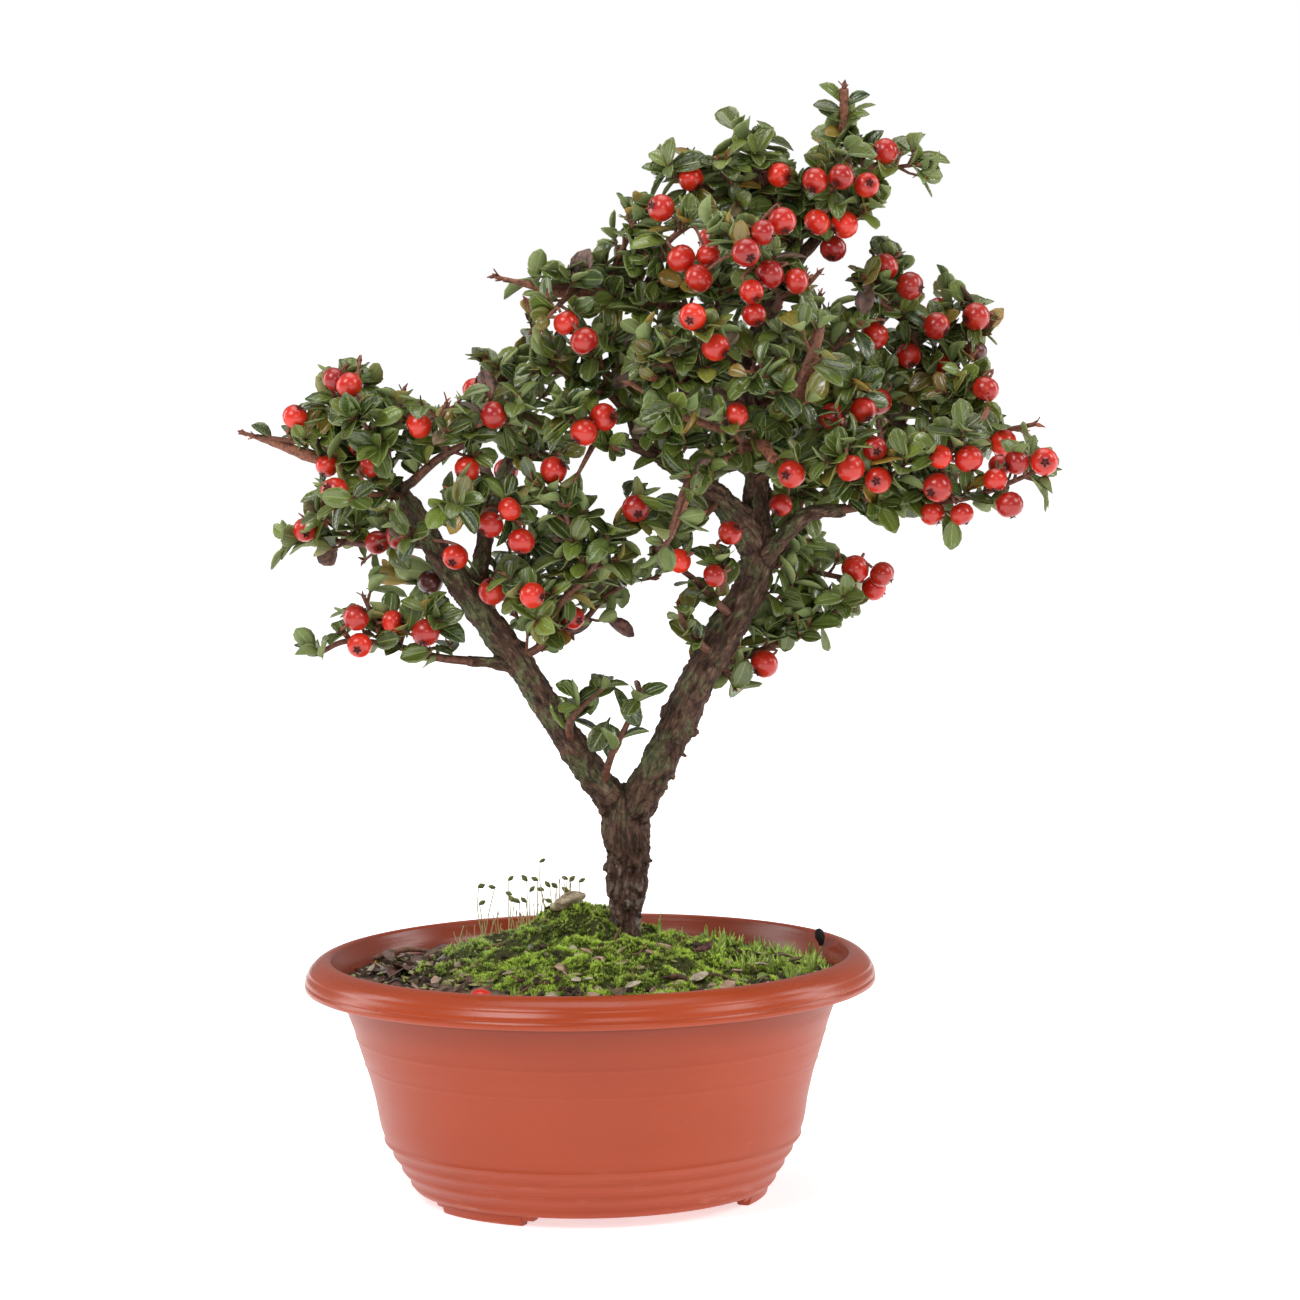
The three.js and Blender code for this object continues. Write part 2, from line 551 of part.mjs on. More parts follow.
// A blade that clears everything taken so far, tried at several tilts and twists.
function findBlade(root, outward, ring, avoid, random) {
  const up = new THREE.Vector3(0, 0, 1);
  const size = 0.86 + 0.28 * random();
  const droop = 0.08 + 0.14 * random();
  for (let attempt = 0; attempt < leaf.tries; attempt++) {
    const tilt = 0.35 + 0.5 * random() + 0.08 * attempt;
    const sway = (random() - 0.5) * (0.5 + 0.12 * attempt);
    const sideways = new THREE.Vector3().crossVectors(ring.along, outward);
    const direction = outward.clone().addScaledVector(ring.along, tilt).addScaledVector(sideways, sway);
    direction.addScaledVector(up, 0.25 * random()).normalize();
    const normal = ring.along.clone().multiplyScalar(0.8).addScaledVector(up, 0.7);
    normal.addScaledVector(direction, -normal.dot(direction)).normalize();
    const across = new THREE.Vector3().crossVectors(normal, direction);
    if (across.dot(sideways) < 0.35) continue;
    const length = leaf.length * size;
    const half = new THREE.Vector3(length * 0.39, leaf.width * size * 0.44, 1.1);
    const centre = root.clone().addScaledVector(direction, length * 0.61).addScaledVector(normal, 0.4);
    const basis = new THREE.Matrix4().makeBasis(direction, across, normal);
    const box = new OBB(centre, half, new THREE.Matrix3().setFromMatrix4(basis));
    if (avoid.some((other) => other.intersectsOBB(box))) continue;
    return { box, loops: bladeLoops(root, direction, across, normal, size, droop) };
  }
  return null;
}

// A four-sided twig whose leaves are drawn out of its own facets.
function leafyTwig(rings, avoid, random) {
  const points = [];
  const indices = [];
  const addLoop = (loop) => loop.map((point) => points.push(point) - 1);
  const bridge = (from, to) => from.forEach((a, i) => {
    const j = (i + 1) % 4;
    indices.push(a, from[j], to[j], a, to[j], to[i]);
  });
  const close = ([a, b, c, d]) => indices.push(a, b, c, a, c, d);
  const grow = (base, loops) => close(loops.reduce((from, loop) => {
    const to = addLoop(loop);
    bridge(from, to);
    return to;
  }, base));
  const loops = rings.map(({ centre, along, across, radius }) => {
    const third = new THREE.Vector3().crossVectors(along, across);
    return addLoop([0, 1, 2, 3].map((k) => centre.clone()
      .addScaledVector(across, radius * Math.cos((k * Math.PI) / 2))
      .addScaledVector(third, radius * Math.sin((k * Math.PI) / 2))));
  });
  close([...loops[0]].reverse());
  rings.slice(1).forEach((ring, i) => {
    for (let k = 0; k < 4; k++) {
      const next = (k + 1) % 4;
      const facet = [loops[i][k], loops[i][next], loops[i + 1][next], loops[i + 1][k]];
      const root = facet.reduce((sum, n) => sum.add(points[n]), new THREE.Vector3()).divideScalar(4);
      const outward = root.clone().sub(rings[i].centre);
      outward.addScaledVector(ring.along, -outward.dot(ring.along)).normalize();
      const isLeafy = rings[i].bearsLeaves && k % 2 === 0;
      const found = isLeafy ? findBlade(root, outward, ring, avoid, random) : null;
      if (found) {
        avoid.push(found.box);
        grow(facet, found.loops);
      } else {
        close(facet);
      }
    }
  });
  const end = rings.at(-1);
  const lifted = end.along.clone().addScaledVector(new THREE.Vector3(0, 0, 1), 0.3).normalize();
  const third = new THREE.Vector3().crossVectors(end.along, end.across);
  const sideways = end.across.clone().sub(third).normalize();
  const spare = { along: new THREE.Vector3().crossVectors(lifted, sideways).normalize() };
  const last = findBlade(end.centre, lifted, spare, avoid, random);
  if (last) {
    avoid.push(last.box);
    grow(loops.at(-1), last.loops);
  } else {
    close(loops.at(-1));
  }
  const geometry = new THREE.BufferGeometry();
  geometry.setAttribute("position", new THREE.Float32BufferAttribute(points.flatMap((p) => p.toArray()), 3));
  geometry.setIndex(indices);
  return solidFrom(geometry);
}

// Berries pushed clear of twigs, wood and each other.
function settleBerries(spots, stretches, others) {
  const places = spots.map(vector);
  const nearest = new THREE.Vector3();
  const push = (place, from, wanted) => {
    const away = place.clone().sub(from);
    const distance = away.length();
    if (distance < wanted) place.addScaledVector(away.normalize(), (wanted - distance) * 1.02);
  };
  for (let round = 0; round < 60; round++) {
    for (const place of places) {
      for (const { line, radius } of stretches) {
        line.closestPointToPoint(place, true, nearest);
        push(place, nearest, radius + berry.radius + 0.5);
      }
      for (const other of [...others, ...places]) {
        if (other !== place) push(place, other, 2 * berry.radius + 0.5);
      }
    }
  }
  return places;
}

const stretchesOf = (rings) => rings.slice(1).map((ring, i) => ({
  line: new THREE.Line3(rings[i].centre, ring.centre),
  radius: Math.max(ring.radius, rings[i].radius) * 1.08,
}));

// A three-sided stalk, slim at the fork and sunk in its berry.
function stalk(from, to) {
  const along = to.clone().sub(from);
  const cone = new THREE.ConeGeometry(berry.stalkRadius, along.length(), 3);
  const up = new THREE.Vector3(0, 1, 0);
  cone.applyQuaternion(new THREE.Quaternion().setFromUnitVectors(up, along.clone().negate().normalize()));
  return solidFrom(cone.translate(...from.clone().lerp(to, 0.5).toArray()));
}

// The stalks of a bunch meet in a knob that sits on the twig.
function makeBunch(places, twigs) {
  const middle = places.reduce((sum, place) => sum.add(place), new THREE.Vector3());
  middle.divideScalar(places.length);
  const nearest = new THREE.Vector3();
  let best = null;
  for (const { line, radius } of twigs) {
    line.closestPointToPoint(middle, true, nearest);
    const distance = nearest.distanceTo(middle);
    if (!best || distance < best.distance) best = { point: nearest.clone(), distance, radius };
  }
  const outward = middle.clone().sub(best.point).normalize();
  const fork = best.point.clone().addScaledVector(outward, best.radius + 0.7 * berry.hubRadius);
  const hub = new THREE.OctahedronGeometry(berry.hubRadius, 0).translate(fork.x, fork.y, fork.z);
  const fruits = places.map((place) =>
    solidFrom(new THREE.IcosahedronGeometry(berry.radius, 0).translate(place.x, place.y, place.z)));
  const solid = union([solidFrom(hub), ...places.map((place) => stalk(fork, place)), ...fruits]);
  return { solid, rods: places.map((place) => ({ start: fork, end: place })) };
}

const bonsai = new THREE.Group();

function addPiece(name, solid, colour, roughness) {
  const material = new THREE.MeshStandardMaterial({ color: colour, roughness, metalness: 0 });
  const mesh = new THREE.Mesh(geometryFrom(solid.simplify(0.01)), material);
  mesh.name = name;
  bonsai.add(mesh);
}

addPiece("pot", makePot(), colours.terracotta, 0.45);

const wholeSoil = makeSoil();
const hole = makeTrunkFoot(seatGap + 0.05).add(makeTrunkFoot(seatGap + 0.05).translate(0, 0, 20));
addPiece("soil", wholeSoil.subtract(hole), colours.soil, 0.95);
const wholeMoss = makeMoss(wholeSoil);
addPiece("moss", largestBody(wholeMoss.subtract(hole)), colours.moss, 0.95);
addPiece("trunk", makeWood(0), colours.bark, 0.85);

const stone = new THREE.IcosahedronGeometry(6, 0).scale(1.2, 0.8, 0.7).translate(-9, 14, 106);
addPiece("stone", largestBody(solidFrom(stone).subtract(wholeMoss.translate(0, 0, seatGap))
  .subtract(wholeSoil.translate(0, 0, seatGap))), colours.stone, 0.8);

const grownWood = makeWood(seatGap + 0.05);
const woodRings = Object.values(boughs).map(({ line, radii }) => ringsAlong(line, radii));
const twigRings = Object.fromEntries(Object.entries(sprays).map(([name, lines]) =>
  [name, lines.map((line, i) => planTwig(line, i === 0))]));
const everyStretch = [...woodRings, ...Object.values(twigRings).flat()].flatMap(stretchesOf);

const taken = woodRings.flatMap((rings) => boxesAround(rings, 0.3));
const berryPlaces = [];
const bunchSolids = {};
for (const [name, spots] of Object.entries(bunches)) {
  const places = settleBerries(spots, everyStretch, berryPlaces);
  berryPlaces.push(...places);
  const { solid, rods } = makeBunch(places, twigRings[name].flatMap(stretchesOf));
  const grownTwigs = union(twigRings[name].map((rings) => tube(rings, 4, { grow: seatGap + 0.05 })));
  bunchSolids[name] = largestBody(solid.subtract(grownTwigs));
  for (const place of places) {
    const half = berry.radius * 0.8 + 0.3;
    taken.push(new OBB(place, new THREE.Vector3(half, half, half)));
  }
  for (const { start, end } of rods) {
    const rings = ringsAlong([start.toArray(), end.toArray()], [berry.stalkRadius, berry.stalkRadius]);
    taken.push(...boxesAround(rings, 0.3));
  }
}

const twigBoxes = Object.fromEntries(Object.entries(twigRings).map(([name, lists]) =>
  [name, lists.map((rings) => boxesAround(rings, 0.3))]));
for (const [place, [name, lists]] of Object.entries(twigRings).entries()) {
  const random = randomFrom(11 + place);
  const strangers = Object.entries(twigBoxes).filter(([other]) => other !== name);
  const foreign = strangers.flatMap(([, boxes]) => boxes.flat());
  const solids = lists.map((rings, i) => {
    const siblings = twigBoxes[name].filter((_, j) => j !== i).flat();
    const avoid = [...taken, ...foreign, ...siblings];
    const count = avoid.length;
    const solid = leafyTwig(rings, avoid, random);
    taken.push(...avoid.slice(count));
    return solid;
  });
  addPiece(`${name}_leaves`, largestBody(union(solids).subtract(grownWood)), colours.leaves, 0.4);
}
for (const [name, solid] of Object.entries(bunchSolids)) {
  addPiece(`${name}_berries`, solid, colours.berries, 0.25);
}

// The whole is moved so that the middle of its box stands over the origin.
const middle = new THREE.Box3().setFromObject(bonsai).getCenter(new THREE.Vector3());
for (const mesh of bonsai.children) mesh.position.set(-middle.x, -middle.y, 0);

export default bonsai;
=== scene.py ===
import math
import random

import bmesh
import bpy
import numpy as np
from mathutils import Matrix, Quaternion, Vector, noise


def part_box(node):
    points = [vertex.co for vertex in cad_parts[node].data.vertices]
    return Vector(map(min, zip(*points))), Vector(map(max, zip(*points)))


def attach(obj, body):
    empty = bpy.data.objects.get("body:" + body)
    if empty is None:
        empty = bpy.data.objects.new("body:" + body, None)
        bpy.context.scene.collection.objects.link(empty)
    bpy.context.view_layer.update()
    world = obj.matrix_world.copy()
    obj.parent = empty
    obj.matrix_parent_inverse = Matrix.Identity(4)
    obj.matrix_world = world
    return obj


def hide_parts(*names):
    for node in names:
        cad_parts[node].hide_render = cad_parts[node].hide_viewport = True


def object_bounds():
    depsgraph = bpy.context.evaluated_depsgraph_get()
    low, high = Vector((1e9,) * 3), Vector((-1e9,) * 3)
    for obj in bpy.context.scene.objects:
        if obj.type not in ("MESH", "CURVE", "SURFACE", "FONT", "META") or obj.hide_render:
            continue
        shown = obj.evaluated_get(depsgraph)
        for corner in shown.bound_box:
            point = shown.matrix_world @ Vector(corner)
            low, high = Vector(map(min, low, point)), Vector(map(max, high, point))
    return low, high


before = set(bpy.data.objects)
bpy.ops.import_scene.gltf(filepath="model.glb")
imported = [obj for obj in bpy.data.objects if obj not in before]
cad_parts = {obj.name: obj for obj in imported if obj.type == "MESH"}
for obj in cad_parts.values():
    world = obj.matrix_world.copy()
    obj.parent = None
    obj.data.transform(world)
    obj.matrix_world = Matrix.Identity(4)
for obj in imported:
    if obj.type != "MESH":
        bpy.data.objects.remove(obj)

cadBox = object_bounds()
potLow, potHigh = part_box("pot")
potAxis = Vector(((potLow[0] + potHigh[0]) / 2, (potLow[1] + potHigh[1]) / 2, 0))
mm = 0.001


def spot(x, y, z):                            # a place in mm from the foot of the pot's axis
    return Vector((x * mm, y * mm, z * mm)) + potAxis


# camera, light and floor

viewer = {"distance": 1800, "height": 375.4, "pitch": 5.54, "yaw": 0.76, "roll": -0.9,
          "focalPixels": 4943.3, "picturePixels": 1300, "sensor": 36}  # sensor in mm


def makeCamera():
    pitch, yaw, roll = (math.radians(viewer[name]) for name in ("pitch", "yaw", "roll"))
    ahead = Vector((math.sin(yaw) * math.cos(pitch), math.cos(yaw) * math.cos(pitch), -math.sin(pitch)))
    level = Vector((math.cos(yaw), -math.sin(yaw), 0))
    upright = level.cross(ahead)
    side = level * math.cos(roll) + upright * math.sin(roll)
    top = upright * math.cos(roll) - level * math.sin(roll)
    data = bpy.data.cameras.new("camera")
    data.sensor_width = viewer["sensor"]
    data.lens = viewer["focalPixels"] / viewer["picturePixels"] * viewer["sensor"]
    data.clip_start, data.clip_end = 0.05, 60
    camera = bpy.data.objects.new("camera", data)
    bpy.context.scene.collection.objects.link(camera)
    camera.matrix_world = Matrix.Translation(spot(0, -viewer["distance"], viewer["height"])) @ \
        Matrix((side, top, -ahead)).transposed().to_4x4()
    bpy.context.scene.camera = camera


tent = {                                      # the white surround as it looks, shines back and lights
    "seen": 1.0, "mirrored": 0.35, "light": 0.11,
}
softboxes = {                                 # place in m from the pot, width and height in m, watts
    "left": ((-1.1, -1.3, 1.7), (1.0, 1.0), 25),
    "right": ((1.5, -0.7, 1.3), (0.5, 0.8), 10),
    "top": ((0.1, 0.2, 2.1), (1.5, 1.5), 19),
    "front": ((0.35, -1.9, 0.75), (0.8, 0.5), 5),
    "sideLeft": ((-1.5, 0.5, 0.7), (0.5, 1.3), 9),
    "sideRight": ((1.6, 0.45, 0.7), (0.5, 1.3), 9),
}
lampAim = (0, 0, 0.2)                         # what the softboxes face, in m from the pot's foot


def makeLights():
    world = bpy.data.worlds.new("tent")
    world.use_nodes = True
    tree, background = world.node_tree, world.node_tree.nodes["Background"]
    background.inputs["Color"].default_value = (1, 1, 1, 1)
    path, level = tree.nodes.new("ShaderNodeLightPath"), None
    for ray, strength in (("Is Glossy Ray", "mirrored"), ("Is Camera Ray", "seen")):
        step = tree.nodes.new("ShaderNodeMapRange")
        step.inputs["To Min"].default_value = tent["light"]
        step.inputs["To Max"].default_value = tent[strength]
        tree.links.new(path.outputs[ray], step.inputs["Value"])
        if level:
            tree.links.new(level, step.inputs["To Min"])
        level = step.outputs[0]
    tree.links.new(level, background.inputs["Strength"])
    bpy.context.scene.world = world
    for name, (place, size, watts) in softboxes.items():
        data = bpy.data.lights.new(name, "AREA")
        data.shape, data.size, data.size_y, data.energy = "RECTANGLE", *size, watts
        lamp = bpy.data.objects.new(name, data)
        bpy.context.scene.collection.objects.link(lamp)
        lamp.location = potAxis + Vector(place)
        lamp.rotation_euler = (Vector(lampAim) - Vector(place)).to_track_quat("-Z", "Y").to_euler()
    bpy.context.scene.view_settings.view_transform = "Standard"


def makeFloor():
    bm = bmesh.new()
    bmesh.ops.create_circle(bm, cap_ends=True, segments=96, radius=9)
    mesh = meshOf("floor", bm, smooth=False)
    mesh.materials.append(floorFinish())
    floor = bpy.data.objects.new("floor", mesh)
    bpy.context.scene.collection.objects.link(floor)


# shader maths and finishes

class Wire:                                   # one socket, so that shader maths reads as arithmetic
    def __init__(self, finish, socket):
        self.finish, self.socket = finish, socket

    def maths(self, operation, *values):
        return self.finish.add("Math", {"operation": operation}, dict(enumerate(values)))

    def __add__(self, other):
        return self.maths("ADD", self, other)

    def __sub__(self, other):
        return self.maths("SUBTRACT", self, other)

    def __rsub__(self, other):
        return self.maths("SUBTRACT", other, self)

    def __mul__(self, other):
        return self.maths("MULTIPLY", self, other)

    def __truediv__(self, other):
        return self.maths("DIVIDE", self, other)

    def __pow__(self, other):
        return self.maths("POWER", self, other)

    def __abs__(self):
        return self.maths("ABSOLUTE", self)

    __radd__, __rmul__ = __add__, __mul__

    def most(self, other):
        return self.maths("MAXIMUM", self, other)

    def rise(self, low, high, start=0, end=1):
        return self.finish.add("MapRange", {"interpolation_type": "SMOOTHSTEP"},
                               {"Value": self, "From Min": low, "From Max": high,
                                "To Min": start, "To Max": end})


class Finish:                                 # a procedural material round one Principled shader
    def __init__(self, name, **constants):
        self.material = bpy.data.materials.new(name)
        self.material.use_nodes = True
        self.tree = self.material.node_tree
        self.tree.nodes.clear()
        self.shader = self.tree.nodes.new("ShaderNodeBsdfPrincipled")
        end = self.tree.nodes.new("ShaderNodeOutputMaterial")
        self.tree.links.new(self.shader.outputs[0], end.inputs[0])
        for socket, value in constants.items():
            self.put(self.shader.inputs[socket.replace("_", " ")], value)

    def put(self, socket, value):
        if isinstance(value, Wire):
            self.tree.links.new(value.socket, socket)
        elif socket.type == "RGBA":
            socket.default_value = (*value[:3], 1)
        else:
            socket.default_value = value

    def add(self, kind, settings=None, inputs=None, output=0):
        made = self.tree.nodes.new("ShaderNode" + kind)
        for setting, value in (settings or {}).items():
            if setting == "stops":
                ramp = made.color_ramp
                while len(ramp.elements) < len(value):
                    ramp.elements.new(1)
                for element, (at, colour) in zip(ramp.elements, value):
                    element.position, element.color = at, (*colour, 1)
            else:
                setattr(made, setting, value)
        for socket, value in (inputs or {}).items():
            self.put(made.inputs[socket], value)
        return Wire(self, made.outputs[output])

    def mix(self, factor, first, second):
        return self.add("Mix", {"data_type": "RGBA"}, {0: factor, 6: first, 7: second}, 2)

    def ramp(self, value, *stops):
        return self.add("ValToRGB", {"stops": stops}, {"Fac": value})

    def objectPlace(self):
        return self.add("TexCoord", output="Object")

    def attribute(self, name):
        return self.add("Attribute", {"attribute_name": name}, output="Vector")

    def scaled(self, vector, *sizes):
        return self.add("Mapping", {"vector_type": "POINT"}, {"Vector": vector, "Scale": sizes})

    def parts(self, vector):
        return [self.add("SeparateXYZ", inputs={0: vector}, output=i) for i in range(3)]

    def noise(self, vector, scale, detail=3, roughness=0.55):
        return self.add("TexNoise", inputs={"Vector": vector, "Scale": scale, "Detail": detail,
                                            "Roughness": roughness})

    def cells(self, vector, scale, feature="F1"):
        return self.add("TexVoronoi", {"feature": feature}, {"Vector": vector, "Scale": scale}, "Distance")

    def bump(self, height, distance, strength):
        return self.add("Bump", inputs={"Height": height, "Distance": distance, "Strength": strength})

    def wear(self, **sockets):
        for socket, value in sockets.items():
            self.put(self.shader.inputs[socket.replace("_", " ")], value)
        return self.material


def lighter(colour, times):                   # a colour made lighter or, below 1, darker
    return tuple(min(1, times * part) for part in colour)


def potFinish():
    finish = Finish("terracottaPlastic", Specular_IOR_Level=0.4)
    place = finish.objectPlace()
    x, y, z = finish.parts(place)
    cloudy = finish.noise(place, 9, 3)
    fine = finish.noise(place, 900, 2)
    streaks = finish.noise(finish.scaled(place, 1, 1, 6), 45, 4)
    colour = finish.mix(cloudy.rise(0.35, 0.7), (0.345, 0.044, 0.009), (0.39, 0.055, 0.014))
    dirt = finish.cells(place, 260)
    specks = (1 - dirt.rise(0.0, 0.16)) * finish.noise(place, 60).rise(0.5, 0.66) * z.rise(0.05, 0.084)
    scuffs = finish.noise(finish.scaled(place, 1, 1, 9), 210, 4, 0.7).rise(0.66, 0.74) * cloudy.rise(0.5, 0.6)
    colour = finish.mix(specks * 0.85, colour, (0.05, 0.03, 0.02))
    x, y = x - potAxis.x, y - potAxis.y
    # inside the rim's outer edge: the outer wall under the overhang and the pot's inner wall
    inward = 1 - ((x * x + y * y) ** 0.5).rise(0.0945, 0.097)
    # painted shade on the outer wall under the rim's overhang and on the inner wall above the soil
    colour = finish.mix(z.rise(0.062, 0.0785) * inward * 0.45, colour, (0.16, 0.024, 0.010))
    # a darker painted shadow line just below the rim's lower lip
    colour = finish.mix(z.rise(0.0745, 0.0775) * (1 - z.rise(0.079, 0.0795)) * inward * 0.8, colour,
                        (0.05, 0.010, 0.005))
    colour = finish.mix(scuffs * 0.35, colour, (0.66, 0.33, 0.22))
    colour = finish.mix(streaks.rise(0.55, 0.75) * z.rise(0.03, 0.0) * 0.35, colour, (0.62, 0.30, 0.20))
    rough = cloudy.rise(0.3, 0.7, 0.36, 0.44) + streaks.rise(0.5, 0.8, 0, 0.08) - z.rise(0.077, 0.080) * 0.13
    rings = finish.add("TexWave", {"wave_type": "BANDS", "bands_direction": "Z"},
                       {"Vector": place, "Scale": 260, "Distortion": 0.4, "Detail": 1})
    height = fine * 0.4 + rings * 0.25 + cloudy * 2
    return finish.wear(Base_Color=colour, Roughness=rough, Normal=finish.bump(height, 0.0001, 0.5))


def barkFinish():
    finish = Finish("darkBark", Specular_IOR_Level=0.35)
    place = finish.objectPlace()
    grain = finish.attribute("grain")
    z = finish.parts(place)[2]
    flakes = finish.noise(grain, 430, 7, 0.72)
    plates = finish.cells(finish.scaled(grain, 1, 1, 1.5), 300, "DISTANCE_TO_EDGE")
    cracks = finish.noise(grain, 900, 4, 0.7)
    colour = finish.ramp(flakes * 0.75 + cracks * 0.3, (0.36, (0.010, 0.006, 0.004)),
                         (0.45, (0.052, 0.023, 0.014)), (0.56, (0.150, 0.076, 0.047)),
                         (0.70, (0.36, 0.25, 0.18)))
    colour = finish.mix((1 - plates.rise(0.0, 0.08)) * 0.4, colour, (0.010, 0.006, 0.0045))
    rusty = finish.noise(place, 28, 2).rise(0.5, 0.68) * (1 - z.rise(0.19, 0.28) * 0.6)
    colour = finish.mix(rusty * 0.55, colour, finish.mix(flakes.rise(0.4, 0.7), (0.022, 0.007, 0.004),
                                                         (0.16, 0.062, 0.035)))
    normalX, normalY, normalZ = finish.parts(finish.add("NewGeometry", output="Normal"))
    weatherSide = (normalX * -0.6 + normalZ * 0.35 - normalY * 0.55).rise(0.0, 0.6)
    lichen = finish.noise(place, 75, 5, 0.7).rise(0.46, 0.57) * weatherSide
    lichen = lichen * z.rise(0.12, 0.16) * (1 - z.rise(0.245, 0.30))
    colour = finish.mix(lichen * 0.75, colour, finish.mix(cracks.rise(0.35, 0.65), (0.035, 0.045, 0.017),
                                                          (0.22, 0.26, 0.11)))
    pale = finish.noise(place, 160, 3).rise(0.48, 0.58) * (1 - z.rise(0.104, 0.125))
    colour = finish.mix(pale * 0.7, colour, (0.36, 0.30, 0.27))
    height = flakes * 1.2 + plates.rise(0.0, 0.22) * 0.4 + cracks * 0.6
    return finish.wear(Base_Color=colour, Roughness=flakes.rise(0.35, 0.7, 0.55, 0.88),
                       Normal=finish.bump(height, 0.0018, 1.0))


def twigFinish(name="twigBark", tint=(0.110, 0.042, 0.024)):
    finish = Finish(name, Specular_IOR_Level=0.4)
    place = finish.objectPlace()
    bright = finish.parts(finish.attribute("tone"))[0]
    grainy = finish.noise(place, 700, 4, 0.65)
    colour = finish.mix(grainy.rise(0.35, 0.7), lighter(tint, 0.4), tint)
    colour = finish.mix(bright * grainy.rise(0.25, 0.65) * 0.75, colour, lighter(tint, 3.2))
    return finish.wear(Base_Color=colour, Roughness=grainy.rise(0.3, 0.7, 0.5, 0.75),
                       Normal=finish.bump(grainy, 0.0003, 0.6))


def leafFinish(name, upper):
    finish = Finish(name, Specular_IOR_Level=0.8 if upper else 0.3)
    u, v = finish.parts(finish.attribute("leafMap"))[:2]
    bright, yellow, dry = finish.parts(finish.attribute("tone"))
    place = finish.objectPlace()
    across = abs(u - 0.5) * 2
    mottle = finish.noise(place, 420, 3)
    if upper:
        colour = finish.mix(bright, (0.011, 0.038, 0.006), (0.190, 0.270, 0.038))
        colour = finish.mix(mottle.rise(0.35, 0.7) * 0.30, colour, (0.110, 0.150, 0.026))
    else:
        colour = finish.mix(bright, (0.145, 0.210, 0.070), (0.290, 0.360, 0.140))
        colour = finish.mix(mottle.rise(0.35, 0.7) * 0.3, colour, (0.140, 0.180, 0.065))
    veins = finish.add("TexWave", {"wave_type": "BANDS", "bands_direction": "Y"},
                       {"Vector": finish.add("CombineXYZ", inputs={0: 0.0, 1: v - across * 0.28, 2: 0.0}),
                        "Scale": 3.1, "Distortion": 0.5})
    rib = (1 - across.rise(0.03, 0.12)) * (1 - v.rise(0.75, 1.0))
    margin = across.rise(0.80, 0.95).most(v.rise(0.94, 1.0)) * (0.55 + mottle * 0.6)
    pale = (0.36, 0.44, 0.115) if upper else (0.42, 0.47, 0.20)
    colour = finish.mix(rib * 0.42 + margin * 0.75 + veins.rise(0.8, 1.0) * 0.08, colour, pale)
    autumn = yellow * (margin * 0.6 + (1 - rib) * 0.55 + mottle * 0.2)
    colour = finish.mix(autumn, colour, (0.46, 0.23, 0.03))
    colour = finish.mix(dry, colour, finish.mix(mottle.rise(0.35, 0.65), (0.055, 0.020, 0.021),
                                                (0.22, 0.095, 0.075)))
    relief = (1 - rib) * 0.6 + (1 - veins.rise(0.75, 1.0)) * 0.35 + mottle * 0.25
    rough = mottle.rise(0.3, 0.7, 0.13, 0.26) + dry * 0.25 if upper else mottle.rise(0.3, 0.7, 0.55, 0.66)
    return finish.wear(Base_Color=colour, Roughness=rough, Normal=finish.bump(relief, 0.0003, 0.7))


def berryFinish():
    finish = Finish("berrySkin", Specular_IOR_Level=0.4, Coat_Roughness=0.07)
    v = finish.parts(finish.attribute("berryMap"))[1]
    bright, dry = finish.parts(finish.attribute("tone"))[::2]
    place = finish.objectPlace()
    mottle = finish.noise(place, 300, 3)
    colour = finish.mix(bright, (0.30, 0.004, 0.004), (0.68, 0.020, 0.006))
    colour = finish.mix(mottle.rise(0.4, 0.7) * 0.2, colour, (0.78, 0.065, 0.010))
    colour = finish.mix(v.rise(0.82, 1.0) * 0.65, colour, (0.20, 0.012, 0.012))
    colour = finish.mix(dry, colour, (0.10, 0.018, 0.012))
    freckles = (1 - finish.cells(place, 900).rise(0.0, 0.22)) * 0.35
    colour = finish.mix(freckles, colour, (0.75, 0.14, 0.04))
    return finish.wear(Base_Color=colour, Coat_Weight=0.45, Roughness=mottle.rise(0.3, 0.7, 0.28, 0.38),
                       Normal=finish.bump(mottle, 0.0002, 0.4))


def calyxFinish():
    finish = Finish("driedCalyx", Specular_IOR_Level=0.2)
    place = finish.objectPlace()
    rough = finish.noise(place, 1400, 3)
    colour = finish.mix(rough.rise(0.35, 0.65), (0.010, 0.005, 0.004), (0.075, 0.022, 0.016))
    return finish.wear(Base_Color=colour, Roughness=0.8, Normal=finish.bump(rough, 0.0003, 0.8))


def earthFinish(name, dark, light, scale=420, reach=0.0009):
    finish = Finish(name, Specular_IOR_Level=0.25)
    place = finish.objectPlace()
    crumbs = finish.noise(place, scale, 6, 0.7)
    grains = finish.cells(place, scale * 2.2)
    colour = finish.mix(crumbs.rise(0.35, 0.68), dark, light)
    colour = finish.mix(grains.rise(0.5, 0.1) * 0.4, colour, lighter(dark, 0.35))
    return finish.wear(Base_Color=colour, Roughness=crumbs.rise(0.3, 0.7, 0.75, 0.95),
                       Normal=finish.bump(crumbs + grains * 0.5, reach, 0.9))


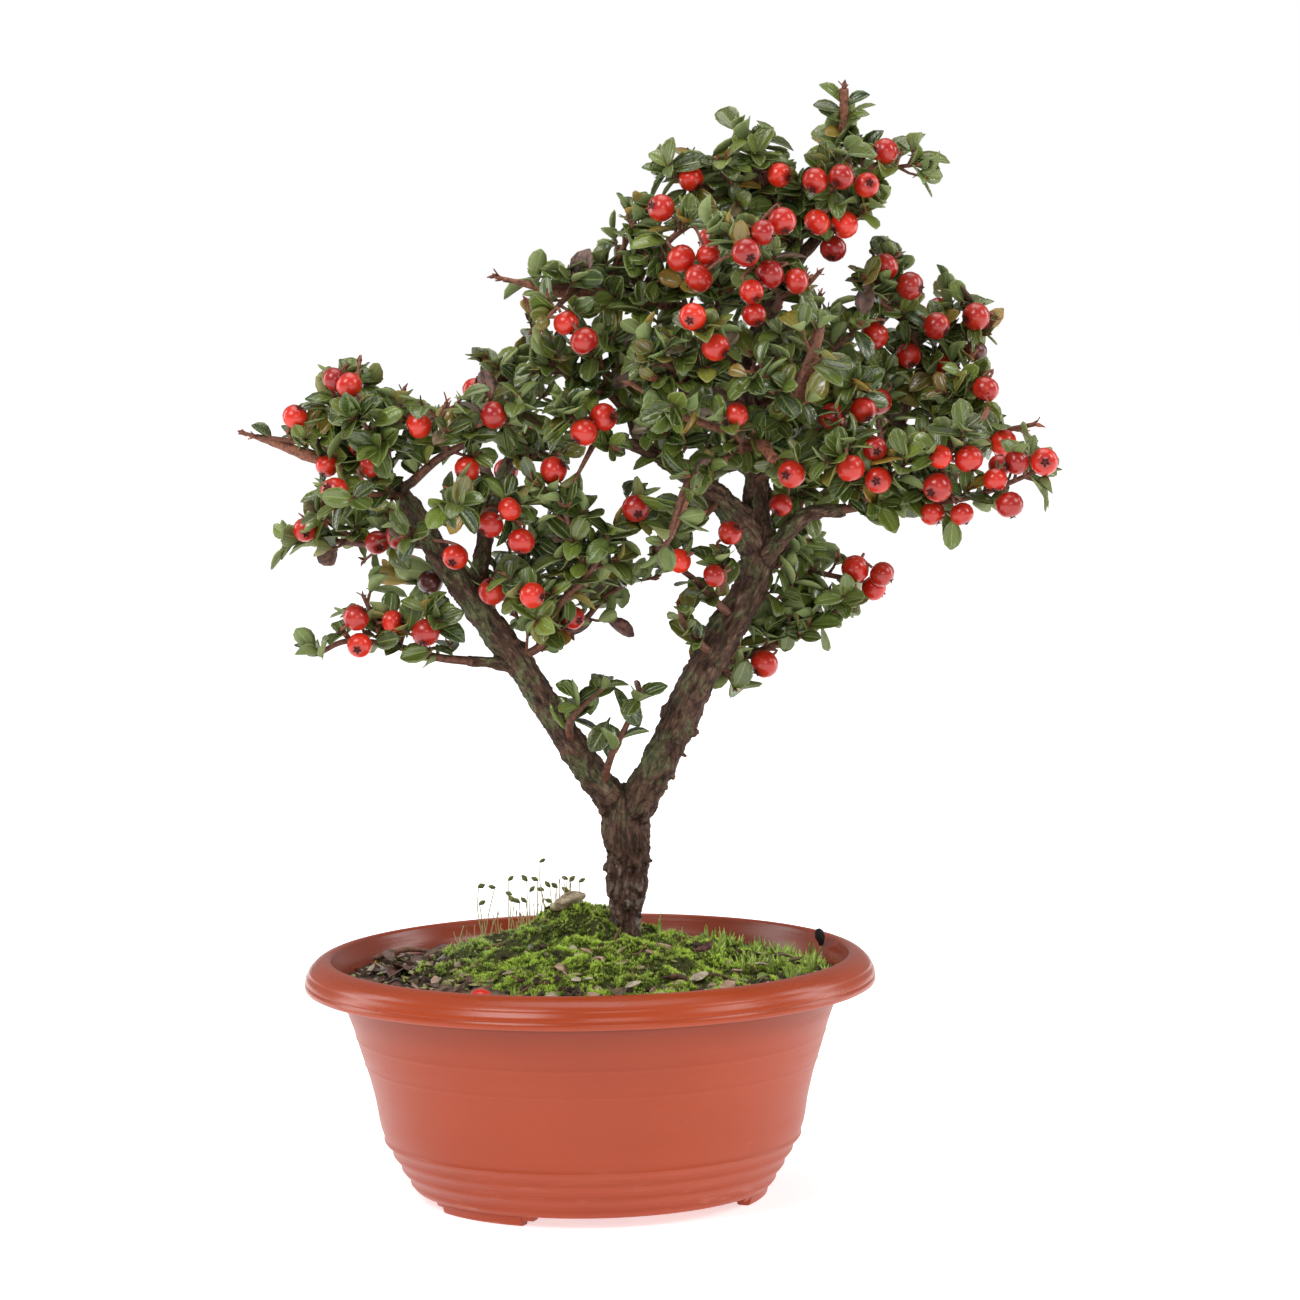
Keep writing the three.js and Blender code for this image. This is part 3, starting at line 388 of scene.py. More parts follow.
def mossFinish(name, dark, light):
    finish = Finish(name, Specular_IOR_Level=0.25)
    place = finish.objectPlace()
    bright, yellow, dry = finish.parts(finish.attribute("tone"))
    patches = finish.noise(place, 60, 3)
    fine = finish.noise(place, 900, 4, 0.7)
    # lighter with the tone's first part, which on the moss shoots holds painted light on the tips and painted
    # shade at the bases and in the hollows
    colour = finish.mix((patches * 0.7 + bright * 0.6).rise(0.25, 1.05), dark, light)
    colour = finish.mix(fine.rise(0.45, 0.7) * 0.35, colour, lighter(light, 1.7))
    colour = finish.mix(yellow * 0.7, colour, (0.62, 0.74, 0.36))
    colour = finish.mix(dry * 0.7, colour, (0.16, 0.12, 0.045))
    return finish.wear(Base_Color=colour, Roughness=0.8, Normal=finish.bump(fine, 0.0006, 0.8))


def stoneFinish(name, dark, light):
    finish = Finish(name, Specular_IOR_Level=0.35)
    place = finish.objectPlace()
    layers = finish.noise(finish.scaled(place, 1, 1, 2.5), 260, 5, 0.65)
    pits = finish.cells(place, 700)
    colour = finish.mix(layers.rise(0.35, 0.66), dark, light)
    return finish.wear(Base_Color=colour, Roughness=layers.rise(0.3, 0.7, 0.6, 0.85),
                       Normal=finish.bump(layers + pits * 0.3, 0.0007, 0.8))


def floorFinish():                            # nearly white, and glowing with painted light like a floor lit from below, the glow weaker round the pot
    finish = Finish("paleFloor", Roughness=0.6, Emission_Strength=1.0)
    place = finish.objectPlace()
    x, y = finish.parts(place)[:2]
    away = (x * x + y * y) ** 0.5
    colour = finish.mix(finish.noise(place, 3), (0.88, 0.88, 0.88), (0.91, 0.91, 0.91))
    # painted light: the floor's glow, weaker near the pot where the lamps light the floor
    glow = finish.mix(away.rise(0.12, 1.3), (0.62, 0.61, 0.62), (0.92, 0.92, 0.92))
    return finish.wear(Base_Color=colour, Emission_Color=glow)


# shared making

def addPiece(name, mesh, materials, nodes=()):
    piece = bpy.data.objects.new(name, mesh)
    bpy.context.scene.collection.objects.link(piece)
    for material in materials:
        mesh.materials.append(material)
    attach(piece, "root")
    if nodes:
        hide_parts(*nodes)
    print("made", name, len(mesh.polygons), "faces")


def plainMesh(name, bm):                      # the mesh as built, with its normals left alone
    mesh = bpy.data.meshes.new(name)
    bm.to_mesh(mesh)
    bm.free()
    return mesh


def smoothFaces(mesh, smooth=True):           # smooth shading on or off
    mesh.polygons.foreach_set("use_smooth", [smooth] * len(mesh.polygons))


def meshOf(name, bm, smooth=True):            # the mesh with its normals turned outward
    bmesh.ops.recalc_face_normals(bm, faces=bm.faces)
    mesh = plainMesh(name, bm)
    smoothFaces(mesh, smooth)
    return mesh


def anyTurn(dice):                            # a random turn in radians
    return dice.uniform(0, 6.28)


def squareTo(axis, angle):                    # a direction square to an axis, turned round it
    return Quaternion(axis, angle) @ axis.orthogonal().normalized()


def smoothLine(points, step):                 # an even, rounded line through places given in mm
    points = [Vector(point) for point in points]
    ends = [points[0] * 2 - points[1], *points, points[-1] * 2 - points[-2]]
    line = []
    for before, start, end, after in zip(ends, ends[1:], ends[2:], ends[3:]):
        count = max(2, round((end - start).length / step))
        for i in range(count):
            t = i / count
            line.append(0.5 * (2 * start + (end - before) * t
                               + (2 * before - 5 * start + 4 * end - after) * t * t
                               + (3 * start - before - 3 * end + after) * t ** 3))
    return line + [points[-1]]


def radiiAlong(radii, count):                 # radii given at some places, spread over a line
    places = np.linspace(0, len(radii) - 1, count)
    return np.interp(places, range(len(radii)), radii)


def bakedMesh(holder):                        # the mesh of an object as it stands; the object then goes
    bpy.context.scene.collection.objects.link(holder)
    bpy.context.view_layer.update()
    mesh = bpy.data.meshes.new_from_object(holder.evaluated_get(bpy.context.evaluated_depsgraph_get()))
    bpy.data.objects.remove(holder)
    return mesh


def tubeMesh(name, tubes, rounding):          # round tubes along lines in mm, each a (line, radii) pair
    curve = bpy.data.curves.new(name, "CURVE")
    curve.dimensions, curve.bevel_depth, curve.bevel_resolution = "3D", mm, rounding
    curve.use_fill_caps = True
    for line, radii in tubes:
        spline = curve.splines.new("POLY")
        spline.points.add(len(line) - 1)
        for point, place, radius in zip(spline.points, line, radii):
            point.co, point.radius = (*spot(*place), 1), radius
    return bakedMesh(bpy.data.objects.new(name, curve))


def evaluated(mesh, kind, **settings):        # the mesh after one modifier
    holder = bpy.data.objects.new("holder", mesh)
    modifier = holder.modifiers.new(kind, kind)
    for setting, value in settings.items():
        setattr(modifier, setting, value)
    return bakedMesh(holder)


def toneOf(mesh, tone):                       # one tone for a mesh, or one for each corner, as a vector
    layer = mesh.attributes.get("tone") or mesh.attributes.new("tone", "FLOAT_VECTOR", "POINT")
    tones = np.broadcast_to(np.array(tone, dtype=np.float32), (len(mesh.vertices), 3))
    layer.data.foreach_set("vector", tones.ravel())


def finishOf(mesh, number):                   # the same finish on every face
    mesh.polygons.foreach_set("material_index", [number] * len(mesh.polygons))


def dress(mesh, number, tone):                # finish, smooth faces and tone of a small part
    finishOf(mesh, number)
    smoothFaces(mesh)
    toneOf(mesh, tone)


def addLobe(bm, outline, angle):              # a flat lobe from its corners, turned round Z
    lobe = bmesh.ops.create_circle(bm, cap_ends=True, segments=len(outline), radius=0.5)["verts"]
    for corner, (x, y, height) in zip(lobe, outline):
        corner.co = Vector((x * math.cos(angle) - y * math.sin(angle),
                            x * math.sin(angle) + y * math.cos(angle), height))
    return lobe


def coordinates(mesh):
    places = np.empty(len(mesh.vertices) * 3, dtype=np.float32)
    mesh.vertices.foreach_get("co", places)
    return places.reshape(-1, 3).astype(float)


def stampCopy(bm, mesh, places, tone):        # a copy of a small mesh, moved to the places given in metres
    mesh.vertices.foreach_set("co", places.astype(np.float32).ravel())
    toneOf(mesh, tone)
    bm.from_mesh(mesh)


def turnedTo(direction, normal):              # a frame whose Y runs along direction and Z near normal
    along = direction.normalized()
    side = along.cross(normal)
    if side.length < 1e-6:
        side = along.orthogonal()
    side.normalize()
    return np.array(Matrix((side, along, side.cross(along))).transposed())


def spun(profile, steps):                     # a line of (radius, height) in mm, spun round the pot's axis
    bm = bmesh.new()
    corners = [bm.verts.new(spot(radius, 0, height)) for radius, height in profile]
    edges = [bm.edges.new(pair) for pair in zip(corners, corners[1:])]
    bmesh.ops.spin(bm, geom=corners + edges, cent=spot(0, 0, 0), axis=(0, 0, 1), angle=2 * math.pi,
                   steps=steps, use_merge=True)
    bmesh.ops.remove_doubles(bm, verts=bm.verts, dist=1e-6)
    return bm


# pot

potShape = {
    "steps": 144, "sharpAbove": 38,           # faces round the pot, and the bend in degrees that stays sharp
    "wallLine": [(0, 63.6), (1.3, 64.1), (5.8, 66.8), (10.3, 69.5), (14.8, 72.1), (19.2, 74.6), (21.5, 76.1),
                 (24, 77), (28, 78.3), (37, 79.7), (46, 81.9), (55, 84.8), (64, 87.4), (72, 90.3), (80, 93),
                 (86, 94.5)],                 # height and outer radius of the wall
    "beads": [5.2, 10.6, 16.0, 21.4], "beadReach": 0.8, "beadHalf": 1.7,
    "rimLine": [(95.4, 86.4), (98.2, 86.2), (101.2, 84.7), (102.9, 82.2), (103.2, 79.4), (103.5, 78.5),
                (104.1, 78.25), (104.7, 78.6), (104.98, 79.3), (104.95, 80.2), (104.6, 80.7), (104.45, 81.1),
                (104.75, 81.6), (104.6, 82.5), (104.0, 83.7), (103.5, 84.3), (103.45, 84.7), (103.2, 85.3),
                (102.2, 86.4), (101, 87.5), (99.6, 88.4), (98.1, 89), (96.9, 89.3), (96.1, 89.3),
                (95.4, 88.9), (94.9, 88.1), (94.5, 87)],  # radius and height, up and over the rolled rim
    "lines": [50.5, 60.5], "lineHeight": 0.22,  # faint raised lines round the body
    "wall": 2, "floorTop": 6.8, "floorUnder": 4.6,
    "foot": (59, 64, 3.6), "footSpan": 34, "stepSpan": 4, "stepHeight": 2,
    "notches": [-71, 49, 169], "drainHoles": 4, "drainRadius": 4.5, "drainCircle": 40,
}


def wallRadius(height):
    heights, radii = zip(*potShape["wallLine"])
    radius = float(np.interp(height, heights, radii))
    for bead in potShape["beads"]:            # each bead swells slowly and ends in a sharp lower lip
        offset = (height - bead) / potShape["beadHalf"]
        if -1 < offset < 1:
            radius += potShape["beadReach"] * (1 - offset * offset) * (1.0 if offset > 0 else 0.7)
    for line in potShape["lines"]:
        radius += potShape["lineHeight"] * math.exp(-((height - line) / 0.5) ** 2)
    return radius


def makePot():
    heights = [4, *np.arange(4.6, 25.2, 0.6), *np.arange(27, 49, 3), *np.arange(49, 62, 0.5),
               *np.arange(64, 86, 3), 85.4]
    outside = [(wallRadius(height), height) for height in heights]
    inside = [(wallRadius(86) - potShape["wall"], 85)] + [
        (float(np.interp(height, *zip(*potShape["wallLine"]))) - potShape["wall"], height)
        for height in range(82, 10, -8)]
    under, top = potShape["floorUnder"], potShape["floorTop"]
    profile = [*((radius, under) for radius in (0, 20, 40, 58.8)), (59.3, 3.4), (63.4, 3.4), (64.6, 3.7),
               *outside, *potShape["rimLine"], *inside, (65.5, 8.6),
               *((radius, top) for radius in (63, 40, 20, 0))]
    shell = meshOf("pot", spun(profile, potShape["steps"]))

    bm = bmesh.new()                          # drills for the drain holes
    for i in range(potShape["drainHoles"]):
        angle = 2 * math.pi * i / potShape["drainHoles"]
        place = spot(potShape["drainCircle"] * math.cos(angle), potShape["drainCircle"] * math.sin(angle), 5)
        radius = potShape["drainRadius"] * mm
        bmesh.ops.create_cone(bm, cap_ends=True, segments=28, radius1=radius, radius2=radius, depth=20 * mm,
                              matrix=Matrix.Translation(place))
    drills = bpy.data.objects.new("drills", meshOf("drills", bm))
    shell = evaluated(shell, "BOOLEAN", operation="DIFFERENCE", object=drills, solver="EXACT")
    bpy.data.objects.remove(drills)

    bm = bmesh.new()
    bm.from_mesh(shell)
    near, far, height = potShape["foot"]
    spans = []                                # each foot, with a lower step at either end
    marks = sorted(potShape["notches"])
    for middle in [(marks[i] + (marks[(i + 1) % 3] + (360 if i == 2 else 0))) / 2 for i in range(3)]:
        half = potShape["footSpan"] / 2
        spans += [(middle - half, middle + half, 0.0),
                  (middle - half - potShape["stepSpan"], middle - half, potShape["stepHeight"]),
                  (middle + half, middle + half + potShape["stepSpan"], potShape["stepHeight"])]
    for start, end, bottom in spans:
        soft = 0.5 if bottom == 0 else 0.2
        outline = [(near, height), (near, bottom + soft), (near + soft, bottom), (far - soft, bottom),
                   (far + 0.2, bottom + soft), (far + 0.9, 3.8)]
        first = math.radians(start)
        ring = [bm.verts.new(spot(radius * math.cos(first), radius * math.sin(first), level))
                for radius, level in outline]
        edges = [bm.edges.new((ring[i], ring[(i + 1) % len(ring)])) for i in range(len(ring))]
        steps = max(2, round((end - start) / 2.5))
        done = bmesh.ops.spin(bm, geom=ring + edges, cent=spot(0, 0, 0), axis=(0, 0, 1),
                              angle=math.radians(end - start), steps=steps)
        bm.faces.new(ring)
        last = [part for part in done["geom_last"] if isinstance(part, bmesh.types.BMEdge)]
        bmesh.ops.contextual_create(bm, geom=last)
    mesh = meshOf("pot", bm)
    addPiece("pot_shell", mesh, [potFinish()], ["pot"])
    bpy.context.view_layer.update()
    mesh.set_sharp_from_angle(angle=math.radians(potShape["sharpAbove"]))


# soil, moss and what lies on them

ground = {
    "rimLevel": 80, "mounds": [(8, 0, 9, 75), (-4, 22, 12, 34)],  # x, y, height, radius
    "mossCentre": (10, -2), "mossThickness": 5, "mossEnd": 90.5,
    "swellAt": (-42, 27), "swellRadius": 20, "swellHeight": 6.5,
    "soilRadius": 91.5, "clearOfWall": 90, "trunkFoot": (13.5, 9),
    "crumbs": 1700, "shoots": 12500, "strayShoots": 900,
}


def waver(x, y, scale, layer):                # smooth noise from -1 to 1 over the ground
    return noise.noise(Vector((x * scale, y * scale, layer)))


def cushions(x, y):                           # broad and small swellings of the moss
    return waver(x, y, 0.16, 3.1), waver(x, y, 0.42, 8)


def fromTrunk(x, y):                          # distance from the middle of the trunk's foot
    footX, footY = ground["trunkFoot"]
    return math.hypot(x - footX, y - footY)


def soilHeight(x, y):
    height = ground["rimLevel"] + 0.7 * math.sin(x * 0.21 + 1) * math.cos(y * 0.18 - 0.6)
    for moundX, moundY, rise, radius in ground["mounds"]:
        share = min(math.hypot(x - moundX, y - moundY) / radius, 1)
        height += rise * (0.5 + 0.5 * math.cos(share * math.pi))
    return height


def mossEdge(angle):
    broad = 0.5 + 0.5 * math.cos(angle)
    edge = (57 + 4 * math.sin(3 * angle)) * (1 - broad) + (72 + 6 * math.cos(angle)) * broad
    edge += 18 * math.exp(-((angle % (2 * math.pi) - 2.75) / 0.55) ** 2)
    return edge + 2 * math.sin(5 * angle + 1)


def backSwell(x, y):                          # share of the tall pale moss at the back on the left
    (middleX, middleY), radius = ground["swellAt"], ground["swellRadius"]
    return math.exp(-((x - middleX) / radius) ** 2 - ((y - middleY) / radius) ** 2)


def mossTop(x, y, share):
    thickness = ground["mossThickness"] + 1.4 * math.sin(0.33 * x) * math.sin(0.29 * y + 1) \
        + 0.9 * math.sin(0.12 * x + 0.5 * y) + ground["swellHeight"] * backSwell(x, y)
    return soilHeight(x, y) + thickness * math.sqrt(max(0, 1 - share ** 3)) - 1.2 * share ** 4


def mossShare(x, y):
    fromX, fromY = x - ground["mossCentre"][0], y - ground["mossCentre"][1]
    return math.hypot(fromX, fromY) / mossEdge(math.atan2(fromY, fromX))


def groundHeight(x, y):                       # top of whatever covers the pot at this place
    share = mossShare(x, y)
    broad, small = cushions(x, y)
    bare = soilHeight(x, y) + 0.9 * waver(x, y, 0.3, 1)
    return max(bare, mossTop(x, y, share) + 1.7 * broad + 0.8 * small) if share < 1 else bare


def spunDisc(radii, steps):                   # flat rings round the pot's axis, ready to be raised
    return spun([(radius, 0) for radius in (0, *radii)], steps)


def closeBelow(bm, lowered):                  # side wall and bottom of a sheet; lowered places the lower edge
    edge = [side for side in bm.edges if side.is_boundary]
    for part in bmesh.ops.extrude_edge_only(bm, edges=edge)["geom"]:
        if isinstance(part, bmesh.types.BMVert):
            part.co = lowered(part.co)
    bmesh.ops.contextual_create(bm, geom=[side for side in bm.edges if side.is_boundary])


def makeSoil():
    bm = spunDisc(np.linspace(1.5, ground["soilRadius"], 62), 220)
    for corner in bm.verts:
        x, y = (corner.co - potAxis).xy / mm
        rough = 1.1 * waver(x, y, 0.3, 1) + 0.5 * waver(x, y, 1, 4)
        rough *= 0.4 if math.hypot(x, y) > ground["clearOfWall"] else 1
        corner.co.z = (soilHeight(x, y) + rough) * mm
    closeBelow(bm, lambda place: Vector((*(potAxis + (place - potAxis) * 0.76).xy, 12 * mm)))
    finish = earthFinish("darkCompost", (0.016, 0.011, 0.008), (0.12, 0.085, 0.060))
    addPiece("soil_bed", meshOf("soil", bm), [finish], ["soil"])


def makeMossBed():
    centreX, centreY = ground["mossCentre"]
    bm = spunDisc(np.linspace(1.2, 100, 58), 200)
    for corner in bm.verts:
        x, y = (corner.co - potAxis).xy / mm
        share, angle = math.hypot(x, y) / 100, math.atan2(y, x)
        reach = share * mossEdge(angle)
        x, y = centreX + reach * math.cos(angle), centreY + reach * math.sin(angle)
        far = math.hypot(x, y)
        if far > ground["mossEnd"]:           # the moss ends at the pot's wall
            x, y = x * ground["mossEnd"] / far, y * ground["mossEnd"] / far
        top = groundHeight(x, y) + 0.35 * waver(x, y, 1.3, 5)
        corner.co = spot(x, y, top - (1.6 if share > 0.985 else 0))
    closeBelow(bm, lambda place: place - Vector((0, 0, 2.5 * mm)))
    mesh = meshOf("moss", bm)
    toneOf(mesh, (0.1, 0, 0.3))
    finish = mossFinish("mossBed", (0.009, 0.017, 0.003), (0.075, 0.110, 0.016))
    addPiece("moss_bed", mesh, [finish], ["moss"])


def mossShoot():                              # one shoot: a whorl of pointed leaves round a short stem
    bm = bmesh.new()
    for ring, (reach, rise, turn) in enumerate([(1.0, 0.45, 0.0), (0.75, 1.0, 0.6), (0.35, 1.35, 0.2)]):
        count = (5, 4, 3)[ring]
        for i in range(count):
            outline = [(reach, 0, rise), (0.08 * reach, 0.2, rise * 0.35), (0.08 * reach, -0.2, rise * 0.35)]
            addLobe(bm, outline, 2 * math.pi * (i + turn) / count)
    return plainMesh("shoot", bm)


def makeMossShoots():
    centreX, centreY = ground["mossCentre"]
    dice = random.Random(5)
    shoot = mossShoot()
    shape = coordinates(shoot)
    bm = bmesh.new()
    made = 0
    while made < ground["shoots"] + ground["strayShoots"]:
        stray = made >= ground["shoots"]
        angle, share = dice.uniform(-math.pi, math.pi), math.sqrt(dice.random())
        reach = share * mossEdge(angle) * (1.25 if stray else 1)
        x, y = centreX + reach * math.cos(angle), centreY + reach * math.sin(angle)
        if math.hypot(x, y) > ground["clearOfWall"] or fromTrunk(x, y) < 6:
            continue
        if stray and waver(x, y, 0.12, 7) < 0.05:
            continue
        thin = waver(x, y, 0.11, 2)
        if not stray and share > 0.35 and thin < -0.2 and dice.random() < 0.85:
            continue
        size = dice.uniform(0.85, 1.65) * (1 + 0.35 * thin)
        turn = Quaternion((0, 0, 1), anyTurn(dice)) @ Quaternion((1, 0, 0), dice.uniform(-0.4, 0.4))
        frameOf = np.array(turn.to_matrix()) * size * mm
        foot = spot(x, y, groundHeight(x, y) - 0.3)
        broad, small = cushions(x, y)
        hollow = broad + 0.5 * small          # below zero in the hollows, where the shoots get painted shade
        bright = min(1.1, max(-0.5, 0.32 + 1.3 * hollow + 0.5 * thin + dice.uniform(-0.3, 0.3)))
        dry = 1.0 if dice.random() < 0.05 else 0
        frost = min(1, backSwell(x, y) * 2.2 + (0.35 if dice.random() < 0.12 else 0))
        # painted light on the tip of each shoot and painted shade at its base
        tip, base = (bright + 0.75, frost, dry), (bright - 0.55, 0, dry)
        tones = [base if i % 3 else tip for i in range(len(shape))]
        stampCopy(bm, shoot, shape @ frameOf.T + np.array(foot), tones)
        made += 1
    # the light end is far paler than moss itself, to carry the painted light on the tips
    finish = mossFinish("mossShoots", (0.028, 0.068, 0.006), (0.680, 0.900, 0.150))
    addPiece("moss_shoots", plainMesh("mossShoots", bm), [finish])


def roughLump(name, seed, flat):              # a worn lump with uneven sides, about 1 mm across
    bm = bmesh.new()
    bmesh.ops.create_icosphere(bm, subdivisions=2, radius=0.5)
    for corner in bm.verts:
        lump = noise.noise(corner.co * 2.4 + Vector((seed, 0, 0))) * 0.32
        corner.co *= 1 + lump
        corner.co.z *= flat
    return meshOf(name, bm, smooth=False)


def nearlyLevel(dice, lean):                  # a random turn round a nearly upright axis
    axis = (dice.gauss(0, lean), dice.gauss(0, lean), 1)
    return np.array(Quaternion(axis, anyTurn(dice)).to_matrix())


def makeCrumbs():                             # coarse bits of compost, bark, grit and gravel
    dice = random.Random(9)
    lumps = [roughLump("lump", seed, flat) for seed, flat in ((1, 0.8), (4, 0.5), (7, 0.9), (11, 0.35))]
    shapes = [coordinates(lump) for lump in lumps]
    finishes = [earthFinish("compostBits", (0.014, 0.009, 0.006), (0.12, 0.080, 0.055), 700, 0.0004),
                earthFinish("barkBits", (0.035, 0.015, 0.010), (0.16, 0.085, 0.055), 500, 0.0004),
                stoneFinish("tanGrit", (0.20, 0.15, 0.09), (0.46, 0.37, 0.24)),
                stoneFinish("greyGrit", (0.12, 0.11, 0.09), (0.34, 0.32, 0.27)),
                stoneFinish("oldLeafBits", (0.17, 0.16, 0.05), (0.44, 0.42, 0.17))]
    bm = bmesh.new()
    made = 0
    while made < ground["crumbs"]:
        angle, far = dice.uniform(-math.pi, math.pi), ground["clearOfWall"] * math.sqrt(dice.random())
        x, y = far * math.cos(angle), far * math.sin(angle)
        share = mossShare(x, y)
        if share < 0.8 and dice.random() < 0.86 or fromTrunk(x, y) < 8:
            continue
        kind = dice.choices(range(5), (0.42, 0.20, 0.12, 0.10, 0.16))[0]
        size = dice.uniform(1.0, 3.4) if kind > 1 else dice.uniform(1.2, 4.2)
        which = 3 if kind == 4 else dice.randrange(len(lumps))
        stretch = np.diag([dice.uniform(0.7, 1.5), dice.uniform(0.6, 1), 1])
        turn = nearlyLevel(dice, 0.2)
        places = shapes[which] @ (turn @ stretch * size * mm).T
        foot = spot(x, y, groundHeight(x, y) + size * 0.12)
        finishOf(lumps[which], kind)
        stampCopy(bm, lumps[which], places + np.array(foot), (0, 0, 0))
        made += 1
    addPiece("soil_crumbs", plainMesh("crumbs", bm), finishes)


stones = {                                    # place and size in mm, turn and tilt of each larger stone
    "stone": ((-7.5, 17), (13.5, 9.5, 6), 0.25, -0.38),
    "pebbleTan": ((-13.5, -81), (6.5, 5.5, 4), 0.2, 0),
    "pebblePale": ((-14, -58), (7, 5.5, 4.5), 1.2, 0),
    "pebbleRound": ((-8, -70), (5, 4.5, 4), 0.5, 0),
}


def makeStones():
    rock = stoneFinish("weatheredStone", (0.16, 0.11, 0.06), (0.66, 0.55, 0.38))
    pale = stoneFinish("palePebble", (0.33, 0.27, 0.19), (0.62, 0.54, 0.40))
    for number, (name, ((x, y), size, turn, tilt)) in enumerate(stones.items()):
        bm = bmesh.new()
        bmesh.ops.create_icosphere(bm, subdivisions=4, radius=0.5)
        for corner in bm.verts:
            place = corner.co * 1.6 + Vector((number * 5, 1, 2))
            corner.co *= 1 + 0.30 * noise.noise(place) + 0.07 * noise.noise(place * 4)
            corner.co.z = max(corner.co.z, -0.32)
        bmesh.ops.scale(bm, vec=Vector(size) * mm, verts=bm.verts)
        turned = Matrix.Rotation(tilt, 3, "Y") @ Matrix.Rotation(turn, 3, "Z")
        bmesh.ops.rotate(bm, cent=(0, 0, 0), matrix=turned, verts=bm.verts)
        bmesh.ops.translate(bm, vec=spot(x, y, groundHeight(x, y) + size[2] * 0.22), verts=bm.verts)
        addPiece(name, meshOf(name, bm), [rock if name == "stone" else pale],
                 ["stone"] if name == "stone" else [])


# wood

boughs = {                                    # name: (line from the root out, radii), in mm
    "trunk": ([
        (13.5, 9, 92), (13.5, 9, 98), (14, 8, 109), (15, 6, 123), (14, 4, 135), (14, 3, 143)],
        [5, 5.4, 7.3, 7.2, 9, 7]),
    "leftLimb": ([
        (14, 5, 136), (10, 3, 145), (0, 1, 158), (-15, -3, 183), (-25, -6, 199), (-43, -8, 224),
        (-53, -7, 239), (-65, -5, 259), (-75, -5, 269)],
        [6.5, 5.4, 5, 4.8, 5.1, 5, 4.4, 3.6, 2.7]),
    "rightLimb": ([
        (14, 4, 137), (22, 0, 151), (31, -2, 168), (40, -2, 187), (50, 0, 205), (60, 3, 221),
        (64, 5, 236), (64, 7, 246)],
        [7.4, 6.4, 6.1, 6.3, 6, 6.3, 5.6, 4.8]),
    "leftInner": ([
        (-40, -6, 223), (-37, 2, 236), (-34, 10, 251), (-30, 16, 262), (-26, 21, 271), (-22, 25, 282)],
        [3.4, 2.2]),
    "leftLow": ([(-26, -6, 196), (-34, -9, 198), (-43, -12, 199)], [2.4, 1.9]),
    "leftMiddle": ([(-52, -4, 241), (-64, 6, 241)], [2.2, 1.7]),
    "leftCross": ([(-66, -6, 261), (-60, -15, 266)], [2, 1.7]),
    "leftBack": ([(-32, 14, 257), (-37, 38, 268), (-43, 50, 276)], [2.4, 1.7]),
    "lowArch": ([
        (62, 5, 239), (56, 0, 249), (50, -4, 256), (43, -8, 262), (36, -12, 268), (26, -14, 274)],
        [6, 4.4, 2.8]),
    "lowArchLeft": ([(29, -13, 272), (19, -18, 277), (10, -24, 279)], [2.6, 1.9]),
    "lowArchUp": ([(30, -13, 271), (21, -8, 279), (18, -2, 288)], [2.4, 1.8]),
    "column": ([(64, 5, 240), (64, 8, 255), (64, 9, 268), (62, 10, 285), (59, 10, 302)], [5, 3.6]),
    "upperLeft": ([(60, 10, 298), (49, 6, 313), (40, 2, 322), (31, -1, 328)], [2.8, 2]),
    "upperRight": ([
        (59, 11, 297), (65, 14, 315), (72, 17, 328), (80, 19, 341), (88, 20, 350)],
        [3.2, 2.2]),
    "topLeft": ([(81, 19, 342), (75, 13, 349)], [2, 1.7]),
    "rightArm": ([(65, 4, 232), (76, -4, 245), (84, -10, 251), (95, -18, 252)], [3.6, 2.3]),
    "rearArm": ([
        (66, 7, 230), (80, 20, 244), (91, 30, 254), (101, 36, 262), (110, 38, 270), (118, 38, 280),
        (122, 36, 290)],
        [3.8, 2.2]),
    "rearArmLow": ([(113, 38, 274), (122, 34, 279)], [1.9, 1.6]),
    "backBough": ([(64, 10, 260), (58, 42, 273), (53, 60, 283)], [3, 2]),
    "backRight": ([(94, 31, 256), (101, 60, 270), (100, 72, 279)], [2.6, 1.9]),
    "backTop": ([(68, 16, 322), (67, 36, 333), (65, 48, 340)], [2.2, 1.7]),
    "frontBough": ([(63, 8, 269), (67, -18, 280), (71, -32, 286)], [3, 1.9]),
    "frontLeft": ([(62, 10, 286), (51, -16, 294), (44, -29, 298)], [2.6, 1.8]),
    "frontTop": ([(64, 14, 312), (69, -10, 322), (72, -20, 327)], [2.2, 1.7]),
}

